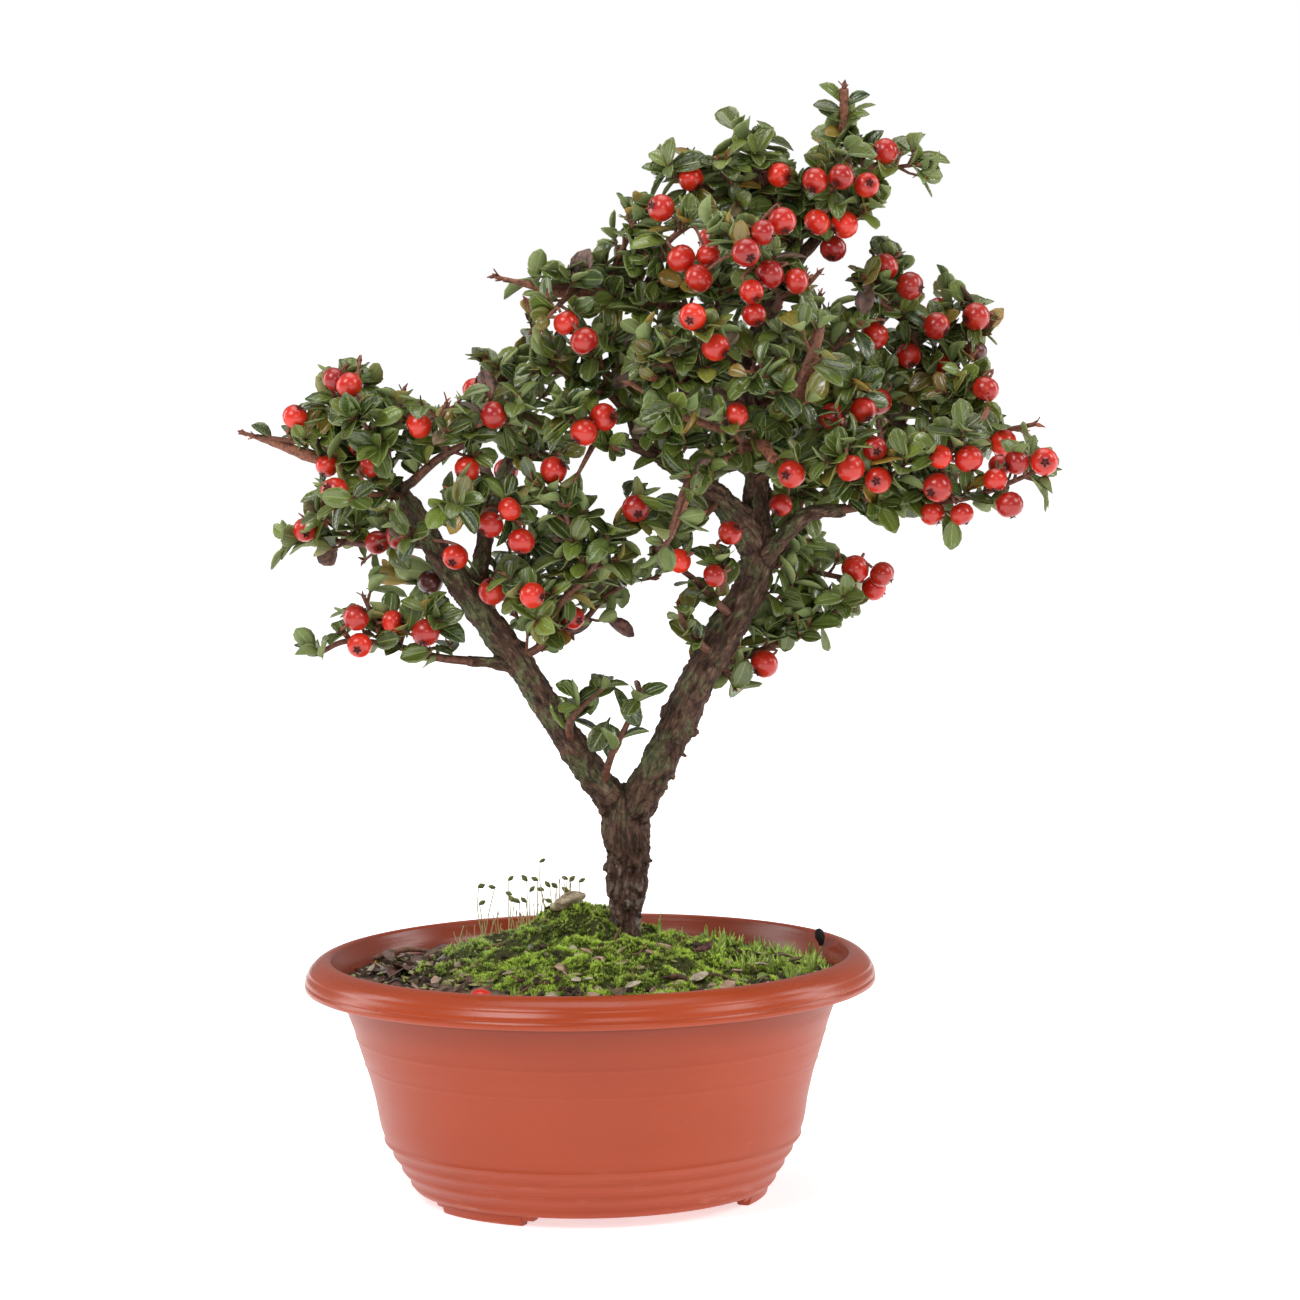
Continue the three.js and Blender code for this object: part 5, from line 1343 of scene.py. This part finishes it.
class Spray:
    def __init__(self, name, seed):
        self.name, self.dice = name, random.Random(seed)
        self.bm = bmesh.new()
        self.tubes, self.stubs = [], []
        self.leaves = 0

    def leaf(self, foot, direction, normal, size=1.0):
        dice = self.dice
        mesh, shape = pressed[dice.randrange(len(pressed))]
        length = dice.uniform(*foliage["leafLength"]) * size
        width = dice.uniform(*foliage["leafWidth"]) * length
        frameOf = turnedTo(direction, normal)
        middle = foot + direction.normalized() * length * 0.55
        if not clearOfBerries(middle) or inTheOpen(middle, 1.5) or inTheOpen(foot + (middle - foot) * 1.8):
            return
        places = (shape * np.array([width, length, length])) @ frameOf.T * mm + np.array(spot(*foot))
        if not insideBox(places):
            return
        bright = min(1, max(0, dice.gauss(*foliage["brightness"])))
        yellow = dice.choices((dice.uniform(0, 0.10), dice.uniform(0.2, 0.45), dice.uniform(0.6, 1)),
                              foliage["tintShares"])[0]
        dry = dice.uniform(0.6, 1) if dice.random() < foliage["dryShare"] else 0
        stampCopy(self.bm, mesh, places, (bright, yellow, dry))
        self.leaves += 1

    def rosette(self, tip, axis, count, size=1.0, spread=(0.6, 1.4)):
        dice = self.dice
        start = anyTurn(dice)
        for i in range(count):
            share = i / max(1, count - 1)     # from the outer leaves to the inner ones
            around = squareTo(axis, start + i * foliage["nextLeaf"])
            tilt = spread[1] + (spread[0] - spread[1]) * share + dice.uniform(-0.2, 0.2)
            direction = axis * math.cos(tilt) + around * math.sin(tilt)
            normal = axis * math.sin(tilt) - around * math.cos(tilt) + Vector((0, -0.28, 0.45))
            foot = tip - axis * (1 - share) * min(5, count * 0.7)
            twist = Quaternion(direction, dice.uniform(-0.5, 0.5))
            self.leaf(foot, direction, twist @ normal, size * dice.uniform(0.8, 1.08) * (1 - 0.22 * share))

    def bracts(self, tip, axis, count):
        mesh, shape = bract
        for i in range(count):
            around = squareTo(axis, i * foliage["nextLeaf"] + self.dice.uniform(-0.4, 0.4))
            direction = axis + around * self.dice.uniform(0.15, 0.7)
            length = self.dice.uniform(2.4, 4.8)
            foot = tip - axis * self.dice.uniform(0, 3)
            places = shape @ turnedTo(direction, axis).T * length * mm + np.array(spot(*foot))
            if insideBox(places):
                stampCopy(self.bm, mesh, places, (self.dice.random(), 0, 0))

    def spur(self, foot, direction, length, leaves, size=1.0):
        dice = self.dice
        bend = Vector((dice.gauss(0, 0.15), dice.gauss(0, 0.15), 0.25))
        middle = foot + direction * length * 0.5
        axis = (direction + bend).normalized()
        tip = middle + axis * length * 0.5
        if inTheOpen(tip):
            return
        self.tubes.append(([foot, middle, tip], [foliage["spurRadius"][0], 0.55, foliage["spurRadius"][1]]))
        self.rosette(tip, axis, leaves, size)
        if length > 8:                        # a leaf or two half way along a long spur
            for side in range(dice.randint(1, 2)):
                around = squareTo(axis, anyTurn(dice))
                facing = axis - around * 0.5 + Vector((0, -0.2, 0.4))
                self.leaf(middle, (around + axis * 0.6).normalized(), facing, size * dice.uniform(0.7, 0.95))
        if dice.random() < 0.7:
            self.bracts(tip, axis, dice.randint(2, 4))

    def twig(self, line, first):
        dice = self.dice
        path = smoothLine(line, 1.5)
        lengths = [0]
        for start, end in zip(path, path[1:]):
            lengths.append(lengths[-1] + (end - start).length)
        radii = np.interp(lengths, [0, lengths[-1]], foliage["twigRadius"]) * (1.15 if first else 0.9)
        self.tubes.append((path, radii))
        airy = airySprays.get(self.name)
        bare = bareTips.get(self.name, 0) if first else 0
        step = airy or foliage["spurEvery"]
        travelled = bareRoots.get(self.name, foliage["bareRoot"]) if first else 2
        number = dice.randint(0, 9)
        while travelled < lengths[-1] - 1 - bare:
            i = min(len(path) - 2, max(0, np.searchsorted(lengths, travelled) - 1))
            share = (travelled - lengths[i]) / (lengths[i + 1] - lengths[i])
            foot = path[i].lerp(path[i + 1], share)
            along = (path[i + 1] - path[i]).normalized()
            around = squareTo(along, number * foliage["nextLeaf"])
            direction = (around + along * 0.55 + Vector((0, 0, 0.4))).normalized()
            if airy:
                normal = along - around * 0.3 + Vector((0, 0, 0.6))
                self.leaf(foot + around * 0.8, direction, normal, dice.uniform(0.85, 1.1))
                if dice.random() < 0.35:
                    self.spur(foot, direction, dice.uniform(2, 5), dice.randint(2, 4), 0.85)
            else:
                self.spur(foot, direction, dice.uniform(*foliage["spurLength"]),
                          dice.randint(*foliage["leavesPerSpur"]))
            number += 1
            travelled += step * dice.uniform(0.8, 1.2)
        along = (path[-1] - path[-3]).normalized()
        if bare:
            self.bracts(path[-1], along, 4)
        else:
            self.rosette(path[-1], along, 4 if airy else 7, 0.95, (0.3, 1.1))
            self.bracts(path[-1], along, 3)

    def stub(self, line, radii):              # a stout shoot with dry bracts near its end
        path = smoothLine(line, 1.5)
        thick = radiiAlong(radii, len(path)) * [1 + self.dice.uniform(-0.12, 0.12) for point in path]
        self.stubs.append((path, thick))
        along = (path[-1] - path[-3]).normalized()
        self.bracts(path[-1], along, 4)
        self.bracts(path[len(path) // 2], along, 3)

    def finish(self):
        for line, radii in stubs.get(self.name, []):
            self.stub(line, radii)
        for owner, foot, direction, facing, size in singleLeaves:
            if owner == self.name:
                self.leaf(Vector(foot), Vector(direction), Vector(facing), size)
        for tubes, bright in ((self.tubes, 0.5), (self.stubs, 1.25)):
            if tubes:
                mesh = tubeMesh("twigs", tubes, 1 if tubes is self.tubes else 2)
                dress(mesh, 2, (bright, 0, 0))
                self.bm.from_mesh(mesh)
        mesh = plainMesh(self.name, self.bm)
        addPiece(self.name + "_foliage", mesh, leafMaterials, [self.name + "_leaves"])


# berries

berryShape = {
    "radius": 5.1, "sizes": (0.82, 1.03), "rings": 8, "steps": 16, "dimple": 0.16, "calyx": 0.42,
    "sepal": [(0.02, 0, 0.80), (0.45, 0.27, 0.93), (1, 0, 0.99), (0.45, -0.27, 0.93)],  # along, aside and up
    "stalk": 0.55, "clearance": 0.3, "settling": 60,
}

frontBerries = [                              # berries seen from the front, in mm
    (-87, -22, 302), (-84, -26, 301), (-103, -16, 289), (-58, -30, 286), (-76, -18, 279), (-76, -22, 272),
    (-92, -14, 271), (-87, -30, 261), (-102, 14, 246), (-73, 4, 242), (-68, 2, 243), (-46, -24, 238),
    (-31, -34, 289), (-41, -30, 270), (-32, -34, 251), (-27, -36, 255), (-22, -34, 244), (-33, -20, 225),
    (-19, -34, 225), (-10, -38, 269), (-15, 20, 280), (-4, -10, 214), (19, -32, 255), (-82, -28, 217),
    (-81, -28, 207), (-69, -24, 215), (-57, -30, 212), (-56, 0, 227), (1, -42, 283), (8, -36, 288),
    (30, -26, 362), (60, -54, 347), (66, -50, 353), (71, -46, 356), (41, -6, 372), (38, -34, 343),
    (42, -38, 338), (46, -34, 345), (62, -46, 324), (62, -50, 333), (69, -46, 337), (75, -44, 336),
    (40, -58, 324), (73, -12, 373), (86, -24, 371), (94, -26, 372), (104, -20, 369), (112, 0, 381),
    (86, -20, 356), (96, -16, 355), (93, 6, 346), (121, 8, 332), (131, 14, 317), (146, 20, 320),
    (148, 4, 294), (146, 24, 307), (112, 10, 339), (108, 12, 314), (109, 10, 290), (101, -34, 289),
    (75, -50, 268), (53, -24, 245), (95, -54, 270), (105, -52, 265), (104, -50, 276), (127, -54, 273),
    (137, -50, 272), (126, -52, 262), (135, -46, 252), (152, -46, 255), (125, -40, 252), (147, -46, 264),
    (155, -44, 270), (164, -42, 269), (153, 8, 276), (72, -12, 254), (90, -36, 287), (54, -54, 288),
    (48, -56, 313), (-3, -34, 320), (0, -36, 317), (101, 18, 227), (105, 22, 222), (65, 8, 195),
    (34, -26, 235), (47, -28, 230), (121, 22, 306),
]
hiddenBerries = [                             # berries on the far side and deep among the leaves
    (96, 94, 284), (111, 95, 293), (93, 78, 302), (51, 86, 293), (32, 78, 290), (49, 76, 308),
    (64, 72, 363), (72, 73, 348), (50, 58, 349), (-48, 70, 279), (-40, 68, 294), (-32, 24, 262),
    (-84, 26, 250), (-8, 34, 308), (80, 40, 262), (118, 46, 283), (134, 40, 322), (120, 34, 330),
    (86, 10, 360), (101, 26, 372), (60, 14, 366), (20, 2, 338), (68, 30, 341), (130, 30, 296),
    (110, 14, 226), (72, 22, 236), (-98, 26, 246), (-64, 30, 230), (-70, -8, 288), (150, -30, 268),
]
witheredBerries = [(-54, 0, 214), (146, 24, 307), (-56, 0, 227)]


def makeBerry():                              # calyx end along Z, stalk end below; unit radius
    rings, steps = berryShape["rings"], berryShape["steps"]
    bm = bmesh.new()
    berryMap = bm.loops.layers.uv.new("berryMap")
    profile = []
    for i in range(rings + 1):
        angle = math.pi * i / rings - math.pi / 2
        radius, height = math.cos(angle) * 1.02, math.sin(angle) * 0.97
        height -= berryShape["dimple"] * math.exp(-(radius / 0.33) ** 2) * (1 if height > 0 else -0.5)
        profile.append((radius if 0 < i < rings else 0, height))
    corners = [bm.verts.new((radius, 0, height)) for radius, height in profile]
    edges = [bm.edges.new(pair) for pair in zip(corners, corners[1:])]
    bmesh.ops.spin(bm, geom=corners + edges, cent=(0, 0, 0), axis=(0, 0, 1), angle=2 * math.pi, steps=steps,
                   use_merge=True)
    bmesh.ops.remove_doubles(bm, verts=bm.verts, dist=1e-5)
    bmesh.ops.recalc_face_normals(bm, faces=bm.faces)
    for face in bm.faces:
        face.smooth = True
        for loop in face.loops:
            place = loop.vert.co
            loop[berryMap].uv = (math.atan2(place.y, place.x) / 6.2832 + 0.5, place.z * 0.5 + 0.5)
    size, star = berryShape["calyx"], []
    sepal = [(along * size, side * size, lift) for along, side, lift in berryShape["sepal"]]
    for i in range(5):                        # the five dried sepals, lying over the dimple
        star += addLobe(bm, sepal, 2 * math.pi * i / 5)
    for face in bm.faces:
        if all(corner in star for corner in face.verts):
            face.material_index = 1
            if face.normal.z < 0:
                face.normal_flip()
    return plainMesh("berry", bm)


def settleBerries():                          # berries pushed off each other, the wood and the twigs
    dice = random.Random(3)
    fixed = []
    for line, radii in boughs.values():
        path = smoothLine(line, 3)
        fixed += list(zip(path, radiiAlong(radii, len(path))))
    for lines in sprays.values():
        for line in lines:
            fixed += [(point, 1.3) for point in smoothLine(line, 3)]
    gap = berryShape["clearance"]
    berries = [[Vector(place), dice.uniform(*berryShape["sizes"]) * berryShape["radius"], front]
               for front, places in ((True, frontBerries), (False, hiddenBerries)) for place in places]
    for turn in range(berryShape["settling"]):
        for i, (centre, radius, front) in enumerate(berries):
            for j in range(i):
                away = centre - berries[j][0]
                need = radius + berries[j][1] + gap
                if away.length < need:
                    shift = away.normalized() * (need - away.length) * 0.5
                    centre += shift
                    berries[j][0] -= shift
            for point, thick in fixed:
                away = centre - point
                if away.length < radius + thick + gap:
                    centre += away.normalized() * (radius + thick + gap - away.length)
    berryPlaces.extend((centre, radius, front) for centre, radius, front in berries)


def makeBerries():
    dice = random.Random(13)
    mesh = makeBerry()
    shape = coordinates(mesh)
    twigs = [(name, point) for name, lines in sprays.items() for line in lines
             for point in smoothLine(line, 2)[3:]]
    owners = {}
    for centre, radius, front in berryPlaces:
        name, root = min(twigs, key=lambda item: (item[1] - centre).length)
        owners.setdefault(name, []).append((centre, radius, root, front))
    groups = {}                               # bunches of one side of the tree share a piece
    for name, berries in owners.items():
        groups.setdefault(bunchGroups.get(name, "middle"), []).extend(berries)
    materials = [berryFinish(), calyxFinish(), twigFinish("berryStalk", (0.16, 0.06, 0.035))]
    for group, berries in groups.items():
        bm = bmesh.new()
        tubes = []
        for centre, radius, root, front in berries:
            out = (centre - root).normalized()
            facing = out * 0.75 + Vector((dice.gauss(0, 0.55), dice.gauss(0 if front else 0.1, 0.45),
                                          dice.gauss(-0.4, 0.35)))
            facing.normalize()
            frameOf = np.array(facing.to_track_quat("Z", "Y").to_matrix())
            spin = np.array(Matrix.Rotation(anyTurn(dice), 3, "Z"))
            places = shape @ spin.T @ frameOf.T * radius * mm + np.array(spot(*centre))
            withered = min((centre - Vector(place)).length for place in witheredBerries) < 6
            stampCopy(bm, mesh, places, (min(1, max(0, dice.gauss(0.5, 0.3))), 0, 1 if withered else 0))
            back = centre - facing * radius * 0.93
            neck = back - facing * min(3.0, (back - root).length * 0.4)
            path = smoothLine([root, root.lerp(neck, 0.55) + Vector((0, 0, 0.8)), neck, back], 1.5)
            tubes.append((path, np.linspace(0.75, berryShape["stalk"], len(path))))
        stalks = tubeMesh("stalks", tubes, 1)
        dress(stalks, 2, (0.5, 0, 0))
        bm.from_mesh(stalks)
        nodes = [name + "_berries" for name in bunches if bunchGroups.get(name, "middle") == group]
        addPiece(group + "_berries_ripe", plainMesh(group, bm), materials, nodes)


bunchGroups = {
    **dict.fromkeys(("left_tip", "left_crown", "left_front", "left_middle", "left_low", "left_under",
                     "left_cross", "left_inner", "left_core", "left_rear"), "left"),
    **dict.fromkeys(("upper_left", "upper_front", "top_left", "leader", "back_top"), "upper"),
    **dict.fromkeys(("rear_top", "rear_low", "right_tip", "front_right", "back_right", "low_right_up",
                     "low_right"), "right"),
}                                             # the other bunches belong to the middle


# small plants on the ground

capsules = [                                  # heads of the moss capsules behind the crest, in mm
    (-41, 24, 111), (-41, 34, 103), (-35, 28, 110), (-30, 40, 111), (-29, 30, 107), (-23, 24, 113),
    (-22, 34, 107.5), (-19, 28, 112.5), (-28, 40, 103), (-26, 30, 104), (-23.5, 24, 105), (-17, 34, 108),
    (-14.5, 28, 110), (-12, 40, 108), (-14, 30, 104), (-18, 24, 120), (-8, 34, 112), (-7, 28, 112),
    (-3.5, 40, 110), (-7, 30, 106), (-7.5, 24, 108.5),
]


def makeSporophytes():                        # thin stalks of the moss, many with a small capsule
    dice = random.Random(17)
    tubes, heads = [], []
    tops = [Vector(place) for place in capsules]
    tops += [Vector((dice.uniform(-52, -5), dice.uniform(20, 44), 0)) for i in range(46)]
    for number, top in enumerate(tops):
        bare = number >= len(capsules)
        foot = Vector((top.x + dice.gauss(0, 1.6), top.y, 0))
        foot.z = groundHeight(foot.x, foot.y) - 0.5
        if bare:
            top.z = foot.z + dice.uniform(5, 13) * (0.7 if top.x < -42 else 1)
        path = smoothLine([foot, foot.lerp(top, 0.55) + Vector((dice.gauss(0, 0.5), 0, 0)), top], 2)
        tubes.append((path, np.linspace(0.22, 0.14, len(path))))
        if not bare:
            nod = Vector((dice.choice((-1, 1)) * 0.8, dice.gauss(0, 0.3), dice.uniform(0.1, 0.9)))
            nod.normalize()
            size = dice.uniform(0.85, 1.15)
            heads.append(([top + nod * step * size for step in (-0.3, 0.5, 1.3, 2.2, 2.8)],
                          [0.25 * size, 0.75 * size, 1.0 * size, 0.62 * size, 0.2 * size]))
        elif dice.random() < 0.3:             # an empty, pointed husk
            heads.append(([top, top + Vector((0.1, 0, 1.2)), top + Vector((0.3, 0, 2.4))], [0.2, 0.3, 0.08]))
    stalks, budMesh = tubeMesh("stalks", tubes, 0), tubeMesh("heads", heads, 1)
    toneOf(stalks, (0.7, 0, 0))
    dress(budMesh, 1, (0.4, 0, 0.2))
    bm = bmesh.new()
    bm.from_mesh(stalks)
    bm.from_mesh(budMesh)
    stalkFinish = mossFinish("mossStalk", (0.42, 0.34, 0.15), (0.62, 0.52, 0.27))
    headFinish = mossFinish("mossCapsule", (0.10, 0.12, 0.03), (0.26, 0.28, 0.08))
    addPiece("moss_sporophytes", plainMesh("sporophytes", bm), [stalkFinish, headFinish])


sprigs = [                                    # x, y, blades, length in mm and lean of the separate sprigs
    (26, 13, 4, 10, 0.35), (51, 38, 7, 6.5, 0.9), (44, 30, 3, 7, 0.5), (33, 20, 5, 5, 0.8),
    (60, 8, 6, 5, 0.8), (83, 26, 4, 9, 0.4), (73, -30, 8, 9, 0.6), (66, -24, 7, 7, 0.7),
    (80, -18, 8, 8, 0.6), (20, -48, 5, 5, 0.8), (2, -30, 4, 5, 0.6), (-28, -46, 4, 5, 0.7),
    (-60, 8, 4, 4, 0.8),
]
sprigPatch = {                                # the grassy patch on the right
    "middle": (66, 6), "reach": (24, 34), "count": 58, "blades": (6, 10), "length": (3.5, 7.5),
    "lean": 1.2, "wide": 1.3,
}
seedPod = {
    "place": (84, 28), "tip": (2.5, 0.5, 6),  # near the wall, and where its stalk ends
    "outline": [(0, 0, 0.7), (0, 1.5, 1.3), (-0.4, 3.5, 1.9), (-0.8, 5.4, 1.6), (-1, 6.4, 0.7)],
}


def bladeMesh():                              # a narrow, folded and curved blade of unit length along Y
    bm = bmesh.new()
    bmesh.ops.create_grid(bm, x_segments=2, y_segments=4, size=0.5)
    for corner in bm.verts:
        row = round((corner.co.y + 0.5) * 4)
        across, along = corner.co.x * 2, row / 4
        width = (0.05, 0.075, 0.08, 0.055, 0.004)[row]
        corner.co = Vector((across * width, along, abs(across) * 0.03 - 0.35 * along ** 2))
    mesh = plainMesh("blade", bm)
    smoothFaces(mesh)
    return mesh


def makeSprigs():
    dice = random.Random(23)
    blade = bladeMesh()
    shape = coordinates(blade)
    bm = bmesh.new()
    tufts = [(x, y, blades, length, lean, 1.0) for x, y, blades, length, lean in sprigs]
    (middleX, middleY), (reachX, reachY) = sprigPatch["middle"], sprigPatch["reach"]
    while len(tufts) < len(sprigs) + sprigPatch["count"]:
        angle, share = anyTurn(dice), math.sqrt(dice.random())
        x, y = middleX + reachX * share * math.cos(angle), middleY + reachY * share * math.sin(angle)
        if math.hypot(x, y) < 87:
            blades, length = dice.randint(*sprigPatch["blades"]), dice.uniform(*sprigPatch["length"])
            tufts.append((x, y, blades, length, sprigPatch["lean"], sprigPatch["wide"]))
    for x, y, blades, length, lean, wide in tufts:
        foot = Vector((x, y, groundHeight(x, y) - 0.3))
        bright = dice.uniform(0.3, 1)
        for i in range(blades):
            angle = i * foliage["nextLeaf"] + dice.uniform(-0.3, 0.3)
            around = Vector((math.cos(angle), math.sin(angle), 0))
            tilt = lean * dice.uniform(0.5, 1.2)
            direction = around * math.sin(tilt) + Vector((0, 0, math.cos(tilt)))
            normal = Vector((0, 0, 1)) * math.sin(tilt) - around * math.cos(tilt)
            size = length * dice.uniform(0.7, 1.1)
            places = (shape * np.array([wide, 1, -1])) @ turnedTo(direction, normal).T * size * mm
            stampCopy(bm, blade, places + np.array(spot(*foot)), (bright, 0, 0))
    x, y = seedPod["place"]                   # a dark seed pod on a short stalk
    foot = Vector((x, y, groundHeight(x, y)))
    tip = foot + Vector(seedPod["tip"])
    asides, rises, radii = zip(*seedPod["outline"])
    swelling = [tip + Vector((aside, 0, rise)) for aside, rise in zip(asides, rises)]
    pod = tubeMesh("pod", [(swelling, radii)], 3)
    stalk = tubeMesh("stalk", [([foot, foot.lerp(tip, 0.5) + Vector((0.3, 0, 0)), tip], [0.35, 0.3, 0.3])], 1)
    for extra, number in ((pod, 1), (stalk, 0)):
        dress(extra, number, (0.5, 0, 0))
        bm.from_mesh(extra)
    green = mossFinish("sprigGreen", (0.10, 0.17, 0.02), (0.50, 0.66, 0.15))
    dark = earthFinish("darkPod", (0.008, 0.006, 0.006), (0.035, 0.026, 0.026))
    addPiece("ground_sprigs", plainMesh("sprigs", bm), [green, dark])


litter = {
    "deadLeaves": 34, "strayLeaves": 7, "sticks": 24, "flakes": 95,
    "chips": [(15, -55, 6), (22, -58, 5), (39, -45, 6.5), (49, -52, 6), (84, -14, 6.5), (-8, -40, 5.5),
              (-5, -48, 4), (1, -62, 4.5), (-30, -30, 4), (30, -66, 5), (62, -22, 5), (-1, -22, 5)],
    "barkTwig": ([(-84, 40, 1), (-77, 46, 2.5), (-68, 50, 4), (-60, 50, 3)], [0.8, 1.2, 1.0, 0.9]),
    "needle": ((9, -7), [(0, 0, 0), (0.4, 0, 3), (2.4, 0, 7)], [0.5, 0.7, 0.6, 0.5, 0.4, 0.3]),
    "roundLeaflets": [((60, -40), 0.5, 0.45), ((57, -42), 2.8, 0.4), ((42, 30), 1.2, 0.45),
                      ((47, 26), 3.9, 0.4)],
    "fallenBerry": (-39, -68, 83.5), "fallenRadius": 4.7, "fallenTurn": 2.7,
}


def makeLitter():                             # dead leaves, flat chips, thin sticks and a piece of bark
    dice = random.Random(29)
    bm = bmesh.new()

    def drop(x, y, direction, facing, size, tone):
        mesh, shape = pressed[dice.randrange(len(pressed))]
        width = dice.uniform(*foliage["leafWidth"])
        foot = spot(x, y, groundHeight(x, y) + dice.uniform(0.8, 2.2))
        places = (shape * np.array([width, 1, 1])) @ turnedTo(direction, facing).T * size * mm
        stampCopy(bm, mesh, places + np.array(foot), tone)

    dropped = 0
    while dropped < litter["deadLeaves"] + litter["strayLeaves"]:
        stray = dropped >= litter["deadLeaves"]
        (west, east), (near, far) = ((-30, 80), (-66, 20)) if stray else ((-86, -38), (-66, 60))
        x, y = dice.uniform(west, east), dice.uniform(near, far)
        if math.hypot(x, y) > 84 or not stray and mossShare(x, y) < 0.93:
            continue
        turn = anyTurn(dice)
        direction = Vector((math.cos(turn), math.sin(turn), dice.gauss(0.1, 0.3)))
        facing = Vector((dice.gauss(0, 0.35), dice.gauss(-0.2, 0.35), dice.choice((1, 1, -1))))
        drop(x, y, direction, facing, dice.uniform(7, 12), (dice.random(), 0, dice.uniform(0.8, 1)))
        dropped += 1
    for (x, y), turn, share in litter["roundLeaflets"]:
        direction = Vector((math.cos(turn), math.sin(turn), 0.4))
        drop(x, y, direction, Vector((0, -0.4, 1)), 10 * share, (0.95, 0, 0))
    sticks = []
    for i in range(litter["sticks"]):
        x, y = dice.uniform(-84, 70), dice.uniform(-72, 40)
        if math.hypot(x, y) > 80:
            x, y = x * 0.7, y * 0.7
        turn, length = anyTurn(dice), dice.uniform(5, 13)
        stepX, stepY = math.cos(turn) * length, math.sin(turn) * length
        ends = [(x + stepX * share, y + stepY * share) for share in (-0.5, 0, 0.5)]
        line = [(endX, endY, groundHeight(endX, endY) + 1.2 + dice.uniform(-0.3, 0.8)) for endX, endY in ends]
        path = smoothLine(line, 2)
        sticks.append((path, np.linspace(0.42, 0.2, len(path))))
    line, radii = litter["barkTwig"]
    path = smoothLine([(x, y, groundHeight(x, y) + lift) for x, y, lift in line], 1.5)
    sticks.append((path, radiiAlong(radii, len(path)) * [1 + dice.uniform(-0.15, 0.15) for point in path]))
    (x, y), line, radii = litter["needle"]    # an orange dry leaf stalk against the trunk's foot
    foot = Vector((x, y, groundHeight(x, y)))
    sticks.append((smoothLine([foot + Vector(place) for place in line], 1.5), radii))
    mesh = tubeMesh("sticks", sticks, 1)
    dress(mesh, 2, (0.45, 0, 0))
    bm.from_mesh(mesh)
    for number, (x, y, size) in enumerate(litter["chips"]):
        chip = roughLump("chip", number * 3 + 2, 0.22)
        finishOf(chip, 3 + number % 2)
        places = coordinates(chip) @ nearlyLevel(dice, 0.3).T * size * mm
        places += np.array(spot(x, y, groundHeight(x, y) + 1.4))
        stampCopy(bm, chip, places, (0.5, 0, 0))
    flakes = 0
    while flakes < litter["flakes"]:          # flat bits of old leaf on the bare soil
        atLeft = dice.random() < 0.72
        (west, east), (near, far) = ((-88, -36), (-74, 60)) if atLeft else ((-30, 80), (-80, 0))
        x, y = dice.uniform(west, east), dice.uniform(near, far)
        if math.hypot(x, y) > 86 or x < -36 and mossShare(x, y) < 0.9:
            continue
        chip = roughLump("flake", flakes, dice.uniform(0.12, 0.3))
        finishOf(chip, dice.choices((3, 4, 5), (0.3, 0.15, 0.55))[0])
        turn = nearlyLevel(dice, 0.4)
        stretch = np.array([1, dice.uniform(0.45, 0.9), 1])
        places = (coordinates(chip) * stretch) @ turn.T * dice.uniform(2.8, 6.4) * mm
        foot = spot(x, y, groundHeight(x, y) + dice.uniform(0.6, 1.8))
        stampCopy(bm, chip, places + np.array(foot), (0.5, 0, 0))
        flakes += 1
    finishes = [*leafMaterials[:2], twigFinish("dryStick", (0.17, 0.075, 0.045)),
                stoneFinish("paleChip", (0.34, 0.27, 0.18), (0.62, 0.54, 0.42)),
                stoneFinish("pinkChip", (0.33, 0.19, 0.13), (0.58, 0.40, 0.31)),
                stoneFinish("oldLeafFlake", (0.15, 0.13, 0.045), (0.46, 0.43, 0.19))]
    addPiece("ground_litter", plainMesh("litter", bm), finishes)
    berry = makeBerry()
    turn = np.array(Matrix.Rotation(litter["fallenTurn"], 3, "X"))
    places = coordinates(berry) @ turn.T * litter["fallenRadius"] * mm
    places += np.array(spot(*litter["fallenBerry"]))
    berry.vertices.foreach_set("co", places.astype(np.float32).ravel())
    toneOf(berry, (1, 0, 0))
    addPiece("fallen_berry", berry, [berryFinish(), calyxFinish()])


# the whole

makeCamera()
makeLights()
makeFloor()
makePot()
makeSoil()
makeMossBed()
makeMossShoots()
makeCrumbs()
makeStones()
makeSporophytes()
makeWood()
leafMaterials = [leafFinish("leafUpper", True), leafFinish("leafUnder", False), twigFinish(),
                 twigFinish("dryBract", (0.20, 0.070, 0.042))]
pressed = [(mesh, coordinates(mesh)) for mesh in (pressLeaf(*kind) for kind in leafShape["kinds"])]
bract = scaleLeaf()
bract = (bract, coordinates(bract))
settleBerries()
total = 0
for seed, (name, lines) in enumerate(sprays.items()):
    spray = Spray(name, 100 + seed)
    for number, line in enumerate(lines):
        spray.twig(line, number == 0)
    total += spray.leaves
    spray.finish()
print("leaves", total)
makeLitter()
makeSprigs()
makeBerries()
